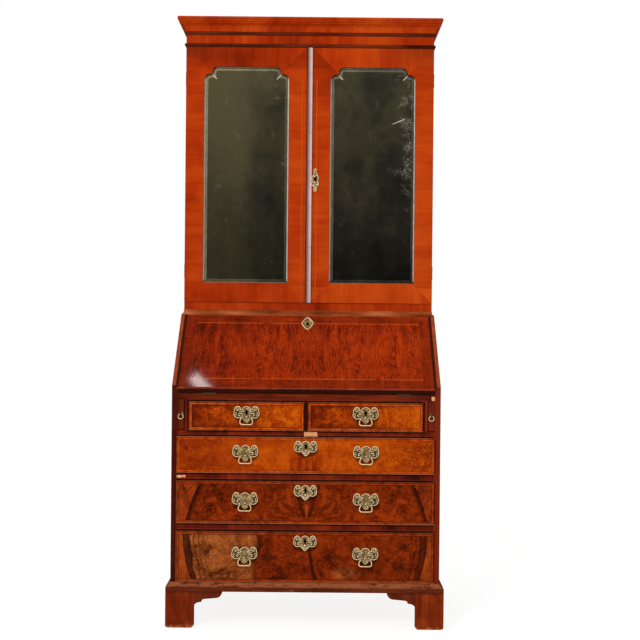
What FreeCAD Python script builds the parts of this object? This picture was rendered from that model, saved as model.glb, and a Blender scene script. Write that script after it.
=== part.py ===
"""Walnut bureau bookcase: a two-door mirrored bookcase standing on a fall-front bureau.

Millimetres. The origin lies on the floor under the middle of the piece's own box. X runs to the
right, Y to the back and Z up, so the front faces -Y.
"""
import math
import os

import FreeCAD
import Part

Vector = FreeCAD.Vector

# Bureau carcass
carcass_width = 900.0
carcass_depth = 525.0
side_thickness = 20.0
back_thickness = 12.0
back_plank_count = 4
bottom_thickness = 18.0
bottom_drop = 15.0
bed_thickness = 18.0
bureau_top_thickness = 18.0
compartment_height = 246.0
top_run = 235.0

# Drawer openings, from the lowest drawer up
long_drawer_openings = (164.5, 138.0, 116.5)
drawer_rail_heights = (31.0, 31.0, 26.0)
half_drawer_opening = 91.0
top_rail_height = 11.0
rail_depth = 60.0
dust_board_thickness = 10.0
muntin_width = 16.0
partition_thickness = 18.6
loper_slot = 21.4

# Base moulding and bracket feet
foot_height = 121.0
base_projection = 14.5
base_face_height = 15.0
base_moulding_height = 29.0
base_moulding_lip = 3.0
foot_width = 95.0
bracket_width = 190.0
bracket_spring_height = 77.0
side_bracket_width = 165.0
bracket_thickness = 20.0
back_bracket_foot = 90.0
back_bracket_width = 150.0
foot_block_width = 38.0
foot_block_lift = 2.0
foot_wear = 8.0

# Fall front
fall_thickness = 19.0
fall_lip_thickness = 9.5
fall_lip_overlap = 7.0
fall_edge_radius = 13.0
fall_lip_round = 4.0

# Lopers
loper_height_gap = 0.3
loper_back_gap = 43.0

# Drawers
lip_overlap = 3.0
lip_proud = 6.0
lip_radius = 4.5
front_thickness = 16.0
drawer_lining = 10.0
drawer_bottom_thickness = 6.0
drawer_bottom_lift = 6.0
drawer_side_gap = 1.0
drawer_floor_gap = 0.3
drawer_head_gap = 4.0
drawer_back_gap = 15.0
front_fit_gap = 0.8

# Pigeonholes and the small drawers under them
nest_setback = 262.0
nest_board = 8.0
nest_drawer_opening = 56.0
nest_drawer_count = 3
nest_hole_count = 6
nest_valance_height = 30.0
nest_valance_thickness = 7.0
nest_front_thickness = 12.0
nest_lining = 6.0
nest_bottom_thickness = 4.0
nest_side_gap = 0.6
knob_radius = 6.0
knob_neck_radius = 3.0
knob_length = 12.0

# Bookcase carcass
bookcase_inset = 7.0
bookcase_setback = 20.0
book_side_thickness = 18.0
book_board_thickness = 18.0
book_back_thickness = 10.0
book_plank_count = 5
shelf_thickness = 16.0
shelf_count = 3
shelf_setback = 12.0
waist_height = 18.0
waist_projection = 8.0
waist_foot = 4.0
waist_lip = 1.5
base_rail_height = 27.5
base_rail_recess = 4.0
frieze_height = 54.0
bead_height = 12.0
bead_projection = 5.5

# Cornice
cornice_height = 48.0
cornice_projection = 29.0
cornice_fillet = 8.0
cornice_ovolo = 9.0
cornice_quirk = 4.0
cornice_foot = 3.0
cornice_sink = 6.0

# Doors and mirrors
door_height = 911.0
door_thickness = 22.0
door_gap = 0.8
stile_width = 65.0
top_rail_width = 69.0
bottom_rail_width = 70.0
lower_lobe_radius = 21.5
upper_lobe_radius = 21.0
lobe_ledge = 7.0
lobe_riser = 4.5
mirror_rebate_width = 4.0
mirror_rebate_depth = 11.0
mirror_thickness = 4.0
mirror_bevel_width = 13.0
mirror_bevel_rise = 2.2
mirror_gap = 0.3
strip_width = 18.0
strip_proud = 5.0

# Butt hinges
hinge_length = 46.0
hinge_leaf_width = 14.0
hinge_leaf_thickness = 1.8
hinge_knuckle_radius = 3.6
hinge_pin_radius = 1.7
hinge_pin_clearance = 0.05
hinge_knuckle_gap = 0.3
door_hinge_inset = 110.0
fall_hinge_spacing = 648.0

# Drawer brasses
plate_width = 84.0
plate_height = 53.0
plate_thickness = 1.5
plate_piercing_radius = 2.4
escutcheon_width = 75.0
escutcheon_height = 49.0
escutcheon_drop = 38.0
keyhole_rise = 9.5
long_handle_spacing = 404.0
handle_rise = 6.0
post_drop = 12.0
post_spacing = 21.0
post_radius = 3.2
post_length = 17.0
post_head_radius = 4.2
post_head_length = 5.0
bail_standoff = 8.0
bail_width = 46.0
bail_drop = 21.5
bail_shoulder = 12.0
bail_collar_gap = 1.6
bail_radius = 2.0
bail_corner_radius = 8.0
bail_pin_radius = 1.6
bail_pin_clearance = 0.08
keyhole_radius = 2.8
keyhole_length = 11.0
keyhole_slot = 3.0
lock_width = 70.0
lock_height = 42.0
lock_thickness = 9.0

# Door and fall brasses
door_escutcheon_width = 24.0
door_escutcheon_height = 82.0
door_escutcheon_edge = 13.0
door_lock_rise = 438.0
door_lock_width = 40.0
door_lock_height = 64.0
fall_escutcheon_width = 41.0
fall_escutcheon_length = 62.0
fall_escutcheon_edge = 40.0
fall_lock_edge = 8.0

# Ring pulls of the lopers
ring_radius = 8.6
ring_wire_radius = 1.3
rosette_radius = 8.0
rosette_thickness = 1.6
eye_radius = 3.2
eye_length = 8.0
eye_standoff = 4.6
eye_clearance = 0.75
ring_height_share = 0.42

# Clearances that several pieces share
fit_clearance = 0.4
cut_overrun = 5.0

# Shape of the arcs: rise of a quarter circle over its chord
quarter_share = (math.sqrt(2.0) - 1.0) / 2.0

# Heights, from the floor up
bottom_top = foot_height + bottom_drop + bottom_thickness
drawer_floors = []
level = bottom_top
for opening, rail in zip(long_drawer_openings, drawer_rail_heights):
    drawer_floors.append(level)
    level += opening + rail
half_drawer_floor = level
top_rail_floor = half_drawer_floor + half_drawer_opening
bed_floor = top_rail_floor + top_rail_height
bed_top = bed_floor + bed_thickness
bureau_top_floor = bed_top + compartment_height
bureau_height = bureau_top_floor + bureau_top_thickness
door_floor = bureau_height + waist_height + base_rail_height
frieze_floor = door_floor + door_height + 2 * door_gap
cornice_floor = frieze_floor + frieze_height
overall_height = cornice_floor + cornice_height

# Widths, from the middle out
half_carcass = carcass_width / 2
half_inside = half_carcass - side_thickness
partition_outside = half_inside - loper_slot
partition_inside = partition_outside - partition_thickness
half_bookcase = half_carcass - bookcase_inset
half_book_inside = half_bookcase - book_side_thickness
half_strip = strip_width / 2

# Depths, from the front back; the post heads are the foremost points
front_reach = lip_proud + plate_thickness + post_length
back = (carcass_depth + front_reach) / 2
front = back - carcass_depth
inner_back = back - back_thickness
door_front = front + top_run + bookcase_setback
door_back = door_front + door_thickness
case_front = door_back + door_gap
book_inner_back = back - book_back_thickness
nest_front = front + nest_setback

# Slope of the fall, whose inner face passes through the hinge pin at the front of the bed
fall_rise = bureau_height - bed_top
slope = math.acos(fall_thickness / math.hypot(top_run, fall_rise)) - math.atan2(top_run, fall_rise)
seat_depth = fall_thickness - fall_lip_thickness


def board(x0, x1, y0, y1, z0, z1):
    """A plain board between two opposite corners."""
    return Part.makeBox(x1 - x0, y1 - y0, z1 - z0, Vector(x0, y0, z0))


def mirrored(shape):
    """The same piece for the other hand."""
    return shape.mirror(Vector(0, 0, 0), Vector(1, 0, 0))


def outline(place, points):
    """A flat face drawn anticlockwise.

    A point of two numbers ends a straight run. A third number makes the run an arc, whose rise is
    that share of its chord, positive where the arc swells outwards.
    """
    edges = []
    start = points[-1][:2]
    for point in points:
        end = point[:2]
        if len(point) == 3:
            across = end[0] - start[0]
            along = end[1] - start[1]
            middle = (
                (start[0] + end[0]) / 2 + along * point[2],
                (start[1] + end[1]) / 2 - across * point[2],
            )
            edges.append(Part.Arc(place(*start), place(*middle), place(*end)).toShape())
        else:
            edges.append(Part.makeLine(place(*start), place(*end)))
        start = end
    return Part.Face(Part.Wire(edges))


def on_slope(x):
    """Places a point by its distance up the fall's slope and out from its inner face."""
    def place(up, out):
        return Vector(
            x,
            front + up * math.cos(slope) - out * math.sin(slope),
            bed_top + up * math.sin(slope) + out * math.cos(slope),
        )
    return place


def slope_y(z, out):
    """Depth of the plane that lies a distance outside the fall's inner face, at a height."""
    return front + ((z - bed_top) * math.cos(slope) - out) / math.sin(slope)


def corner_wedges(half_width, front_y, reach, depth):
    """Plan shapes of the front run and the left return of a mitred moulding."""
    outer = (-half_width - reach, front_y - reach)
    inner = (-half_width + depth, front_y + depth)

    def tall(corners):
        wire = [Vector(x, y, 0) for x, y in corners]
        return Part.Face(Part.makePolygon(wire + wire[:1])).extrude(Vector(0, 0, overall_height))

    front_run = tall((outer, (-outer[0], outer[1]), (-inner[0], inner[1]), inner))
    left_return = tall((outer, inner, (inner[0], back), (outer[0], back)))
    return front_run, left_return


def mitred_moulding(profile, half_width, front_y, floor, reach):
    """A moulding along the front and both sides; its profile is projection by height."""
    front_wedge, left_wedge = corner_wedges(half_width, front_y, reach, 0)
    end_x = -half_width - reach
    front_face = outline(lambda out, up: Vector(end_x, front_y - out, floor + up), profile)
    side_face = outline(lambda out, up: Vector(-half_width - out, front_y - reach, floor + up), profile)
    front_run = front_face.extrude(Vector(-2 * end_x, 0, 0)).common(front_wedge)
    left_return = side_face.extrude(Vector(0, back - front_y + reach, 0)).common(left_wedge)
    return front_run.Solids + left_return.Solids + [mirrored(left_return)]


def bureau_sides():
    """Both bureau sides, with the sloping front edge and the rebate that the fall's lip seats in."""
    knee = bed_top + fall_thickness / math.cos(slope)
    inner_x = -half_inside
    profile = (
        (front, foot_height),
        (back, foot_height),
        (back, bureau_height),
        (front + top_run, bureau_height),
        (front, knee),
    )
    side = outline(lambda y, z: Vector(-half_carcass, y, z), profile).extrude(Vector(side_thickness, 0, 0))
    reach = math.hypot(top_run, fall_rise)
    seat = seat_depth - fit_clearance / 2
    rebate_x = inner_x - fall_lip_overlap - fit_clearance
    rebate = outline(on_slope(rebate_x), (
        (-cut_overrun, seat),
        (reach + cut_overrun, seat),
        (reach + cut_overrun, fall_thickness + cut_overrun),
        (-cut_overrun, fall_thickness + cut_overrun),
    )).extrude(Vector(inner_x - rebate_x + cut_overrun, 0, 0))
    side = side.cut(rebate)
    return [side, mirrored(side)]


def bureau_top():
    """Top board between the sides, its front edge bevelled to carry the fall's upper lip."""
    seat = seat_depth - fit_clearance / 2
    profile = (
        (slope_y(bureau_top_floor, seat), bureau_top_floor),
        (back, bureau_top_floor),
        (back, bureau_height),
        (slope_y(bureau_height, seat), bureau_height),
    )
    face = outline(lambda y, z: Vector(-half_inside, y, z), profile)
    return [face.extrude(Vector(2 * half_inside, 0, 0))]


def bureau_bottom():
    """Bottom board, which the lowest drawer runs on."""
    floor = foot_height + bottom_drop
    return [board(-half_inside, half_inside, front, inner_back, floor, bottom_top)]


def planks(count, half_width, y0, y1, z0, z1):
    """Upright planks that close the back, edge to edge."""
    width = 2 * half_width / count
    edges = [-half_width + width * index for index in range(count + 1)]
    return [board(x0, x1, y0, y1, z0, z1) for x0, x1 in zip(edges, edges[1:])]


def drawer_rails():
    """Rails between the drawers, each with its dust board behind, and the rail under the bed."""
    solids = []
    for floor, opening, rail in zip(drawer_floors, long_drawer_openings, drawer_rail_heights):
        under = floor + opening
        top = under + rail
        solids.append(board(-half_inside, half_inside, front, front + rail_depth, under, top))
        dust_floor = top - dust_board_thickness
        solids.append(board(-half_inside, half_inside, front + rail_depth, inner_back, dust_floor, top))
    solids.append(board(
        -partition_inside, partition_inside, front, front + rail_depth, top_rail_floor, bed_floor))
    return solids


def drawer_dividers():
    """Muntin between the half drawers and the partitions beside the lopers."""
    muntin = board(
        -muntin_width / 2, muntin_width / 2, front, inner_back, half_drawer_floor, top_rail_floor)
    partition = board(
        -partition_outside, -partition_inside, front, inner_back, half_drawer_floor, bed_floor)
    return [muntin, partition, mirrored(partition)]


def butt_hinge(place, fixed_side, opened):
    """Solids of one hinge and its mortises: fixed leaf, pin, moving leaf, fixed and moving cutters.

    The pin runs along the local Z axis from its start. The fixed leaf lies on the side of the local
    XZ plane that fixed_side names, and the moving leaf stands turned by opened about the pin.
    """
    third = hinge_length / 3
    bore = hinge_pin_radius + hinge_pin_clearance
    axis = Vector(0, 0, 1)

    def barrel(radius, start, end):
        return Part.makeCylinder(radius, end - start, Vector(0, 0, start), axis)

    def leaf(side):
        low = min(0, side * hinge_leaf_thickness)
        return Part.makeBox(hinge_leaf_width, hinge_leaf_thickness, hinge_length, Vector(0, low, 0))

    relief = hinge_knuckle_radius + hinge_knuckle_gap
    middle_start = third - hinge_knuckle_gap
    middle_end = 2 * third + hinge_knuckle_gap
    pin = barrel(hinge_pin_radius, 0, hinge_length)
    fixed = leaf(fixed_side).cut(barrel(relief, middle_start, middle_end))
    fixed = fixed.fuse([
        barrel(hinge_knuckle_radius, 0, middle_start),
        barrel(hinge_knuckle_radius, middle_end, hinge_length),
    ]).removeSplitter().cut(pin)
    moving = leaf(-fixed_side).cut(barrel(relief, 0, third)).cut(barrel(relief, 2 * third, hinge_length))
    moving = moving.fuse(barrel(hinge_knuckle_radius, third, 2 * third)).removeSplitter()
    moving = moving.cut(barrel(bore, 0, hinge_length))
    room = barrel(relief, 0, hinge_length)
    fixed_cutter = leaf(fixed_side).fuse(room)
    moving_cutter = leaf(-fixed_side).fuse(room)
    turn = FreeCAD.Placement(Vector(0, 0, 0), FreeCAD.Rotation(axis, math.degrees(opened)))
    moving.Placement = turn
    moving_cutter.Placement = turn
    pieces = (fixed, pin, moving, fixed_cutter, moving_cutter)
    return [piece.transformGeometry(place.toMatrix()) for piece in pieces]


def fall_hinges():
    """The two hinges of the fall, with pins along the front edge of the bed."""
    hinges = []
    for side in (-1, 1):
        start_x = side * fall_hinge_spacing / 2 - hinge_length / 2
        frame = FreeCAD.Rotation(Vector(0, 1, 0), Vector(0, 0, 1), Vector(1, 0, 0), "ZXY")
        place = FreeCAD.Placement(Vector(start_x, front, bed_top), frame)
        hinges.append(butt_hinge(place, -1, slope))
    return hinges


def left_door_hinges():
    """The two hinges of the left door, with upright pins at its outer back edge."""
    hinges = []
    door_start = door_floor + door_gap
    for middle in (door_start + door_hinge_inset, door_start + door_height - door_hinge_inset):
        start = Vector(-half_bookcase, case_front, middle - hinge_length / 2)
        hinges.append(butt_hinge(FreeCAD.Placement(start, FreeCAD.Rotation()), 1, 0))
    return hinges


def writing_bed(hinges):
    """Board that the fall hinges to; its top is the back half of the writing surface."""
    bed = board(-half_inside, half_inside, front, inner_back, bed_floor, bed_top)
    for hinge in hinges:
        bed = bed.cut(hinge[3])
    return [bed]


def base_moulding():
    """Cavetto moulding round the foot of the carcass."""
    profile = (
        (0, 0),
        (base_projection, 0),
        (base_projection, base_face_height),
        (base_moulding_lip, base_moulding_height - base_moulding_lip, -quarter_share),
        (base_moulding_lip, base_moulding_height),
        (0, base_moulding_height),
    )
    return mitred_moulding(profile, half_carcass, front, foot_height, base_projection)


def bracket_profile(width):
    """Outline of a bracket: the foot, a small round step, a flat and a last quarter curve."""
    rise = foot_height - bracket_spring_height
    run = width - foot_width
    step_run_share, flat_run_share, flat_start_share = 0.26, 0.82, 0.38
    step_rise_share, flat_rise_share, last_rise_share = 0.20, 0.44, 0.53
    swell_share, hollow_share = 0.16, -0.2
    return (
        (foot_wear, 0),
        (foot_width - foot_wear, 0),
        (foot_width, foot_wear),
        (foot_width, bracket_spring_height - foot_wear / 2),
        (foot_width + run * step_run_share, bracket_spring_height + rise * step_rise_share, -swell_share),
        (foot_width + run * flat_start_share, bracket_spring_height + rise * flat_rise_share, hollow_share),
        (foot_width + run * flat_run_share, bracket_spring_height + rise * last_rise_share),
        (width, foot_height, swell_share),
        (0, foot_height),
        (0, foot_wear),
    )


def bracket_feet():
    """Mitred bracket feet at the front, plain brackets at the back and a block in each corner."""
    corner_x = -half_carcass - base_projection
    corner_y = front - base_projection
    inner_x = corner_x + bracket_thickness
    depth = bracket_thickness - base_projection
    front_wedge, left_wedge = corner_wedges(half_carcass, front, base_projection, depth)
    front_board = outline(
        lambda along, up: Vector(corner_x + along, corner_y, up), bracket_profile(bracket_width),
    ).extrude(Vector(0, bracket_thickness, 0)).common(front_wedge)
    side_board = outline(
        lambda along, up: Vector(corner_x, corner_y + along, up), bracket_profile(side_bracket_width),
    ).extrude(Vector(bracket_thickness, 0, 0)).common(left_wedge)
    back_side_board = outline(
        lambda along, up: Vector(corner_x, back - along, up), bracket_profile(side_bracket_width),
    ).extrude(Vector(bracket_thickness, 0, 0))
    back_profile = ((0, 0), (back_bracket_foot, 0), (back_bracket_width, foot_height), (0, foot_height))
    back_board = outline(
        lambda along, up: Vector(inner_x + along, back - bracket_thickness, up), back_profile,
    ).extrude(Vector(0, bracket_thickness, 0))
    block_x = inner_x + foot_block_width
    front_block_y = corner_y + bracket_thickness
    back_block_y = back - bracket_thickness
    blocks = [
        board(inner_x, block_x, front_block_y, front_block_y + foot_block_width,
              foot_block_lift, foot_height),
        board(inner_x, block_x, back_block_y - foot_block_width, back_block_y,
              foot_block_lift, foot_height),
    ]
    left = front_board.Solids + side_board.Solids + [back_side_board, back_board] + blocks
    return left + [mirrored(solid) for solid in left]


def pigeonholes():
    """Shelf over the small drawers, uprights, and shaped valances over the pigeonholes."""
    shelf_floor = bed_top + nest_drawer_opening
    shelf_top = shelf_floor + nest_board
    solids = [board(-half_inside, half_inside, nest_front, inner_back, shelf_floor, shelf_top)]
    drawer_pitch = (2 * half_inside + nest_board) / nest_drawer_count
    for index in range(1, nest_drawer_count):
        x = -half_inside + drawer_pitch * index - nest_board
        solids.append(board(x, x + nest_board, nest_front, inner_back, bed_top, shelf_floor))
    hole_pitch = (2 * half_inside + nest_board) / nest_hole_count
    hole_width = hole_pitch - nest_board
    valance_floor = bureau_top_floor - nest_valance_height
    crown_share = 0.35
    for index in range(nest_hole_count):
        x = -half_inside + hole_pitch * index
        if index:
            solids.append(board(x - nest_board, x, nest_front, inner_back, shelf_top, bureau_top_floor))
        valance = outline(lambda along, up, x=x: Vector(x + along, nest_front, valance_floor + up), (
            (0, 0),
            (hole_width / 2, nest_valance_height * crown_share, -quarter_share),
            (hole_width, 0, -quarter_share),
            (hole_width, nest_valance_height),
            (0, nest_valance_height),
        ))
        solids.append(valance.extrude(Vector(0, nest_valance_thickness, 0)))
    return solids


def box_sides(x0, x1, y0, y1, z0, z1, lining, bottom, bottom_lift):
    """Two sides, back and bottom of a drawer behind its front."""
    bottom_floor = z0 + bottom_lift
    return [
        board(x0, x0 + lining, y0, y1, z0, z1),
        board(x1 - lining, x1, y0, y1, z0, z1),
        board(x0 + lining, x1 - lining, y0, y1, bottom_floor, bottom_floor + bottom),
        board(x0 + lining, x1 - lining, y1 - lining, y1, bottom_floor + bottom, z1),
    ]


def nest_drawers():
    """The small drawers of the writing compartment, each with front, box and turned knob."""
    drawers = []
    pitch = (2 * half_inside + nest_board) / nest_drawer_count
    floor = bed_top + drawer_floor_gap
    head = bed_top + nest_drawer_opening - nest_side_gap
    face_y = nest_front
    box_y = face_y + nest_front_thickness
    knob_z = (floor + head) / 2
    for index in range(nest_drawer_count):
        x0 = -half_inside + pitch * index + nest_side_gap
        x1 = x0 + pitch - nest_board - 2 * nest_side_gap
        profile = outline(lambda out, radius, x=(x0 + x1) / 2: Vector(x + radius, face_y - out, knob_z), (
            (0, 0),
            (knob_length, 0),
            (knob_length - knob_radius / 2, knob_radius, quarter_share),
            (knob_length - knob_radius, knob_radius),
            (knob_neck_radius, knob_neck_radius, -quarter_share),
            (0, knob_neck_radius),
        ))
        knob = profile.revolve(Vector((x0 + x1) / 2, face_y, knob_z), Vector(0, 1, 0), 360)
        front_board = board(x0, x1, face_y, box_y, floor, head)
        box = box_sides(x0, x1, box_y, inner_back - drawer_floor_gap, floor, head,
                        nest_lining, nest_bottom_thickness, 0)
        drawers.append([front_board, knob] + box)
    return drawers


def fall_board(hinges, lock_pocket, keyhole):
    """The fall with its thumbnail lower edge, and the lips that seat on the sides and top."""
    half_width = half_inside - fit_clearance
    half_lip = half_inside + fall_lip_overlap
    head = bureau_height - fit_clearance
    lip_length = (head - bed_top - fall_thickness * math.cos(slope)) / math.sin(slope)
    under_top = bureau_top_floor - fit_clearance - bed_top
    board_length = (under_top - seat_depth * math.cos(slope)) / math.sin(slope)
    flat = fall_thickness - fall_edge_radius
    panel = outline(on_slope(-half_width), (
        (fit_clearance, 0),
        (board_length, 0),
        (board_length, fall_thickness),
        (fall_edge_radius, fall_thickness),
        (fit_clearance, flat, quarter_share),
    )).extrude(Vector(2 * half_width, 0, 0))
    for hinge in hinges:
        panel = panel.cut(hinge[4])
    panel = panel.cut(lock_pocket).cut(keyhole)
    side_lip = outline(on_slope(-half_lip), (
        (fall_edge_radius, seat_depth),
        (board_length, seat_depth),
        (board_length, fall_thickness),
        (fall_edge_radius + fall_lip_round, fall_thickness),
        (fall_edge_radius, fall_thickness - fall_lip_round, quarter_share),
    )).extrude(Vector(half_lip - half_width, 0, 0))
    top_lip = outline(on_slope(-half_lip), (
        (board_length, seat_depth),
        (lip_length, seat_depth),
        (lip_length, fall_thickness - fall_lip_round),
        (lip_length - fall_lip_round, fall_thickness, quarter_share),
        (board_length, fall_thickness),
    )).extrude(Vector(2 * half_lip, 0, 0))
    return [panel, side_lip, mirrored(side_lip), top_lip]


def fall_reach():
    """Length of the fall from the hinge pin to the tip of its upper lip."""
    head = bureau_height - fit_clearance
    return (head - bed_top - fall_thickness * math.cos(slope)) / math.sin(slope)


def fall_lock():
    """Lock let into the fall's inner face, its pocket, the lozenge escutcheon and its keyhole."""
    under_top = bureau_top_floor - fit_clearance - bed_top
    lock_end = (under_top - seat_depth * math.cos(slope)) / math.sin(slope) - fall_lock_edge
    lock = outline(on_slope(-lock_width / 2), (
        (lock_end - lock_height, 0),
        (lock_end, 0),
        (lock_end, lock_thickness),
        (lock_end - lock_height, lock_thickness),
    )).extrude(Vector(lock_width, 0, 0))
    middle = fall_reach() - fall_escutcheon_edge
    half_length = fall_escutcheon_length / 2
    half_width = fall_escutcheon_width / 2
    bow_share = 0.06

    def face(along, up):
        return on_slope(along)(middle + up, fall_thickness)

    out = on_slope(0)(0, 1) - on_slope(0)(0, 0)
    plate = outline(face, (
        (0, -half_length, bow_share),
        (half_width, 0, bow_share),
        (0, half_length, bow_share),
        (-half_width, 0, bow_share),
    )).extrude(out * plate_thickness)
    hole = outline(face, keyhole_profile()).extrude(out * (2 * fall_thickness))
    hole.translate(out * -(fall_thickness - lock_thickness))
    return lock, plate.cut(hole), hole


def keyhole_profile():
    """Outline of a keyhole about its middle: a round top and a straight slot."""
    half_slot = keyhole_slot / 2
    half_length = keyhole_length / 2
    shoulder = half_length - keyhole_radius - math.sqrt(keyhole_radius ** 2 - half_slot ** 2)
    round_rise = (half_length - shoulder) / keyhole_slot
    return (
        (-half_slot, -half_length),
        (half_slot, -half_length),
        (half_slot, shoulder),
        (-half_slot, shoulder, round_rise),
    )


def loper():
    """Left loper, which slides out to carry the open fall."""
    inner = -half_inside + fit_clearance
    outer = -partition_outside - fit_clearance
    floor = half_drawer_floor + loper_height_gap
    head = bed_top - fall_thickness - fit_clearance
    return board(inner, outer, front, inner_back - loper_back_gap, floor, head)


def ring_pull():
    """Rosette with its eye, and the ring that hangs in it, on the left loper."""
    x = -(half_inside + partition_outside) / 2
    floor = half_drawer_floor + loper_height_gap
    head = bed_top - fall_thickness - fit_clearance
    z = floor + (head - floor) * ring_height_share + ring_radius
    towards = Vector(0, -1, 0)
    rosette = Part.makeCone(
        rosette_radius, rosette_radius - rosette_thickness, rosette_thickness, Vector(x, front, z), towards)
    eye = Part.makeCylinder(eye_radius, eye_length, Vector(x, front, z), towards)
    pivot_y = front - eye_standoff
    hole = Part.makeCylinder(
        ring_wire_radius + eye_clearance, 4 * eye_radius, Vector(x - 2 * eye_radius, pivot_y, z),
        Vector(1, 0, 0))
    ring = Part.makeTorus(
        ring_radius, ring_wire_radius, Vector(x, pivot_y, z - ring_radius), Vector(0, 1, 0))
    return rosette.fuse(eye).removeSplitter().cut(hole), ring


def plate_outline(x, z, width, height):
    """Bat-wing backplate: a low crest, two lobed wings and a pointed drop."""
    half = width / 2
    points_shares = (
        (0.0, -0.50, 0.0),
        (0.20, -0.36, 0.10),
        (0.38, -0.215, 0.06),
        (0.45, -0.155, -0.12),
        (0.60, -0.225, 0.22),
        (0.94, -0.10, 0.16),
        (1.0, 0.06, 0.10),
        (0.94, 0.24, 0.10),
        (0.91, 0.37, 0.20),
        (0.67, 0.50, 0.20),
        (0.50, 0.385, 0.18),
        (0.43, 0.25, -0.06),
        (0.36, 0.33, -0.05),
        (0.0, 0.50, 0.09),
    )
    right = [(across * half, up * height, bulge) for across, up, bulge in points_shares]
    left = []
    for here, ahead in zip(right[-2::-1], right[:0:-1]):
        left.append((-here[0], here[1], ahead[2]))
    return outline(lambda across, up: Vector(x + across, 0, z + up), right[1:] + left)


def backplate(x, z, face_y, width, height, keyhole):
    """A pierced backplate on a drawer face: an eye and a crescent in each wing, and perhaps a keyhole."""
    outwards = Vector(0, -plate_thickness, 0)
    plate = plate_outline(x, z, width, height)
    plate.translate(Vector(0, face_y, 0))
    plate = plate.extrude(outwards)
    eye_share, eye_rise_share = 0.69, 0.33
    crescent_shares = ((0.78, -0.08, -0.20), (0.80, 0.15, 0.46))
    for side in (-1, 1):
        centre = Vector(x + side * eye_share * width / 2, face_y, z + eye_rise_share * height)
        plate = plate.cut(Part.makeCylinder(plate_piercing_radius, plate_thickness, centre, outwards))
        crescent = outline(
            lambda across, up, side=side: Vector(x + side * across * width / 2, face_y, z + up * height),
            crescent_shares)
        plate = plate.cut(crescent.extrude(outwards))
    if keyhole:
        plate = plate.cut(keyhole)
    return plate


def keyhole_cut(x, z, face_y):
    """Keyhole through a plate and the drawer front behind it."""
    y = face_y - 2 * plate_thickness
    face = outline(lambda across, up: Vector(x + across, y, z + up), keyhole_profile())
    return face.extrude(Vector(0, 2 * plate_thickness + lip_proud + front_thickness, 0))


def handle_posts(x, z, face_y):
    """Two cast posts with domed heads, bored for the bail's ends."""
    posts = []
    shank = post_length - post_head_length
    plate_y = face_y - plate_thickness
    pivot_y = plate_y - bail_standoff
    for side in (-1, 1):
        post_x = x + side * post_spacing / 2
        profile = outline(lambda out, radius, post_x=post_x: Vector(post_x + radius, plate_y - out, z), (
            (0, 0),
            (post_length, 0),
            (shank, post_head_radius, quarter_share),
            (shank, post_radius),
            (0, post_radius),
        ))
        post = profile.revolve(Vector(post_x, plate_y, z), Vector(0, 1, 0), 360)
        bore_start = Vector(post_x - 2 * post_radius, pivot_y, z)
        bore = Part.makeCylinder(
            bail_pin_radius + bail_pin_clearance, 4 * post_radius, bore_start, Vector(1, 0, 0))
        posts.append(post.cut(bore))
    return posts


def bail(x, z, face_y):
    """Drop handle: a bar that flares from its pins in the posts to two rounded lower corners."""
    y = face_y - plate_thickness - bail_standoff
    reach = bail_width / 2 - bail_radius
    collar = post_spacing / 2 + post_radius + bail_collar_gap
    flare = reach - collar
    arm_radius = (flare ** 2 + bail_shoulder ** 2) / (2 * flare)
    arm_angle = math.asin(bail_shoulder / arm_radius)
    low = -bail_drop
    turn = bail_corner_radius
    middle_share = 1 - math.sqrt(0.5)

    def at(across, up):
        return Vector(x + across, y, z + up)

    def arm(share):
        angle = share * arm_angle
        return at(reach - arm_radius + arm_radius * math.cos(angle), arm_radius * math.sin(angle) - bail_shoulder)

    path = Part.Wire([
        Part.makeLine(at(0, low), at(reach - turn, low)),
        Part.Arc(at(reach - turn, low), at(reach - turn * middle_share, low + turn * middle_share),
                 at(reach, low + turn)).toShape(),
        Part.makeLine(at(reach, low + turn), arm(0)),
        Part.Arc(arm(0), arm(1 / 2), arm(1)).toShape(),
    ])
    section = Part.Wire([Part.makeCircle(bail_radius, at(0, low), Vector(1, 0, 0))])
    bar = path.makePipeShell([section], True, False)
    pin_start = post_spacing / 2 - post_radius
    bar = bar.fuse(Part.makeCylinder(
        bail_pin_radius, collar + bail_radius / 2 - pin_start, at(pin_start, 0), Vector(1, 0, 0)))
    return bar.fuse(bar.mirror(at(0, 0), Vector(1, 0, 0))).removeSplitter()


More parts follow.
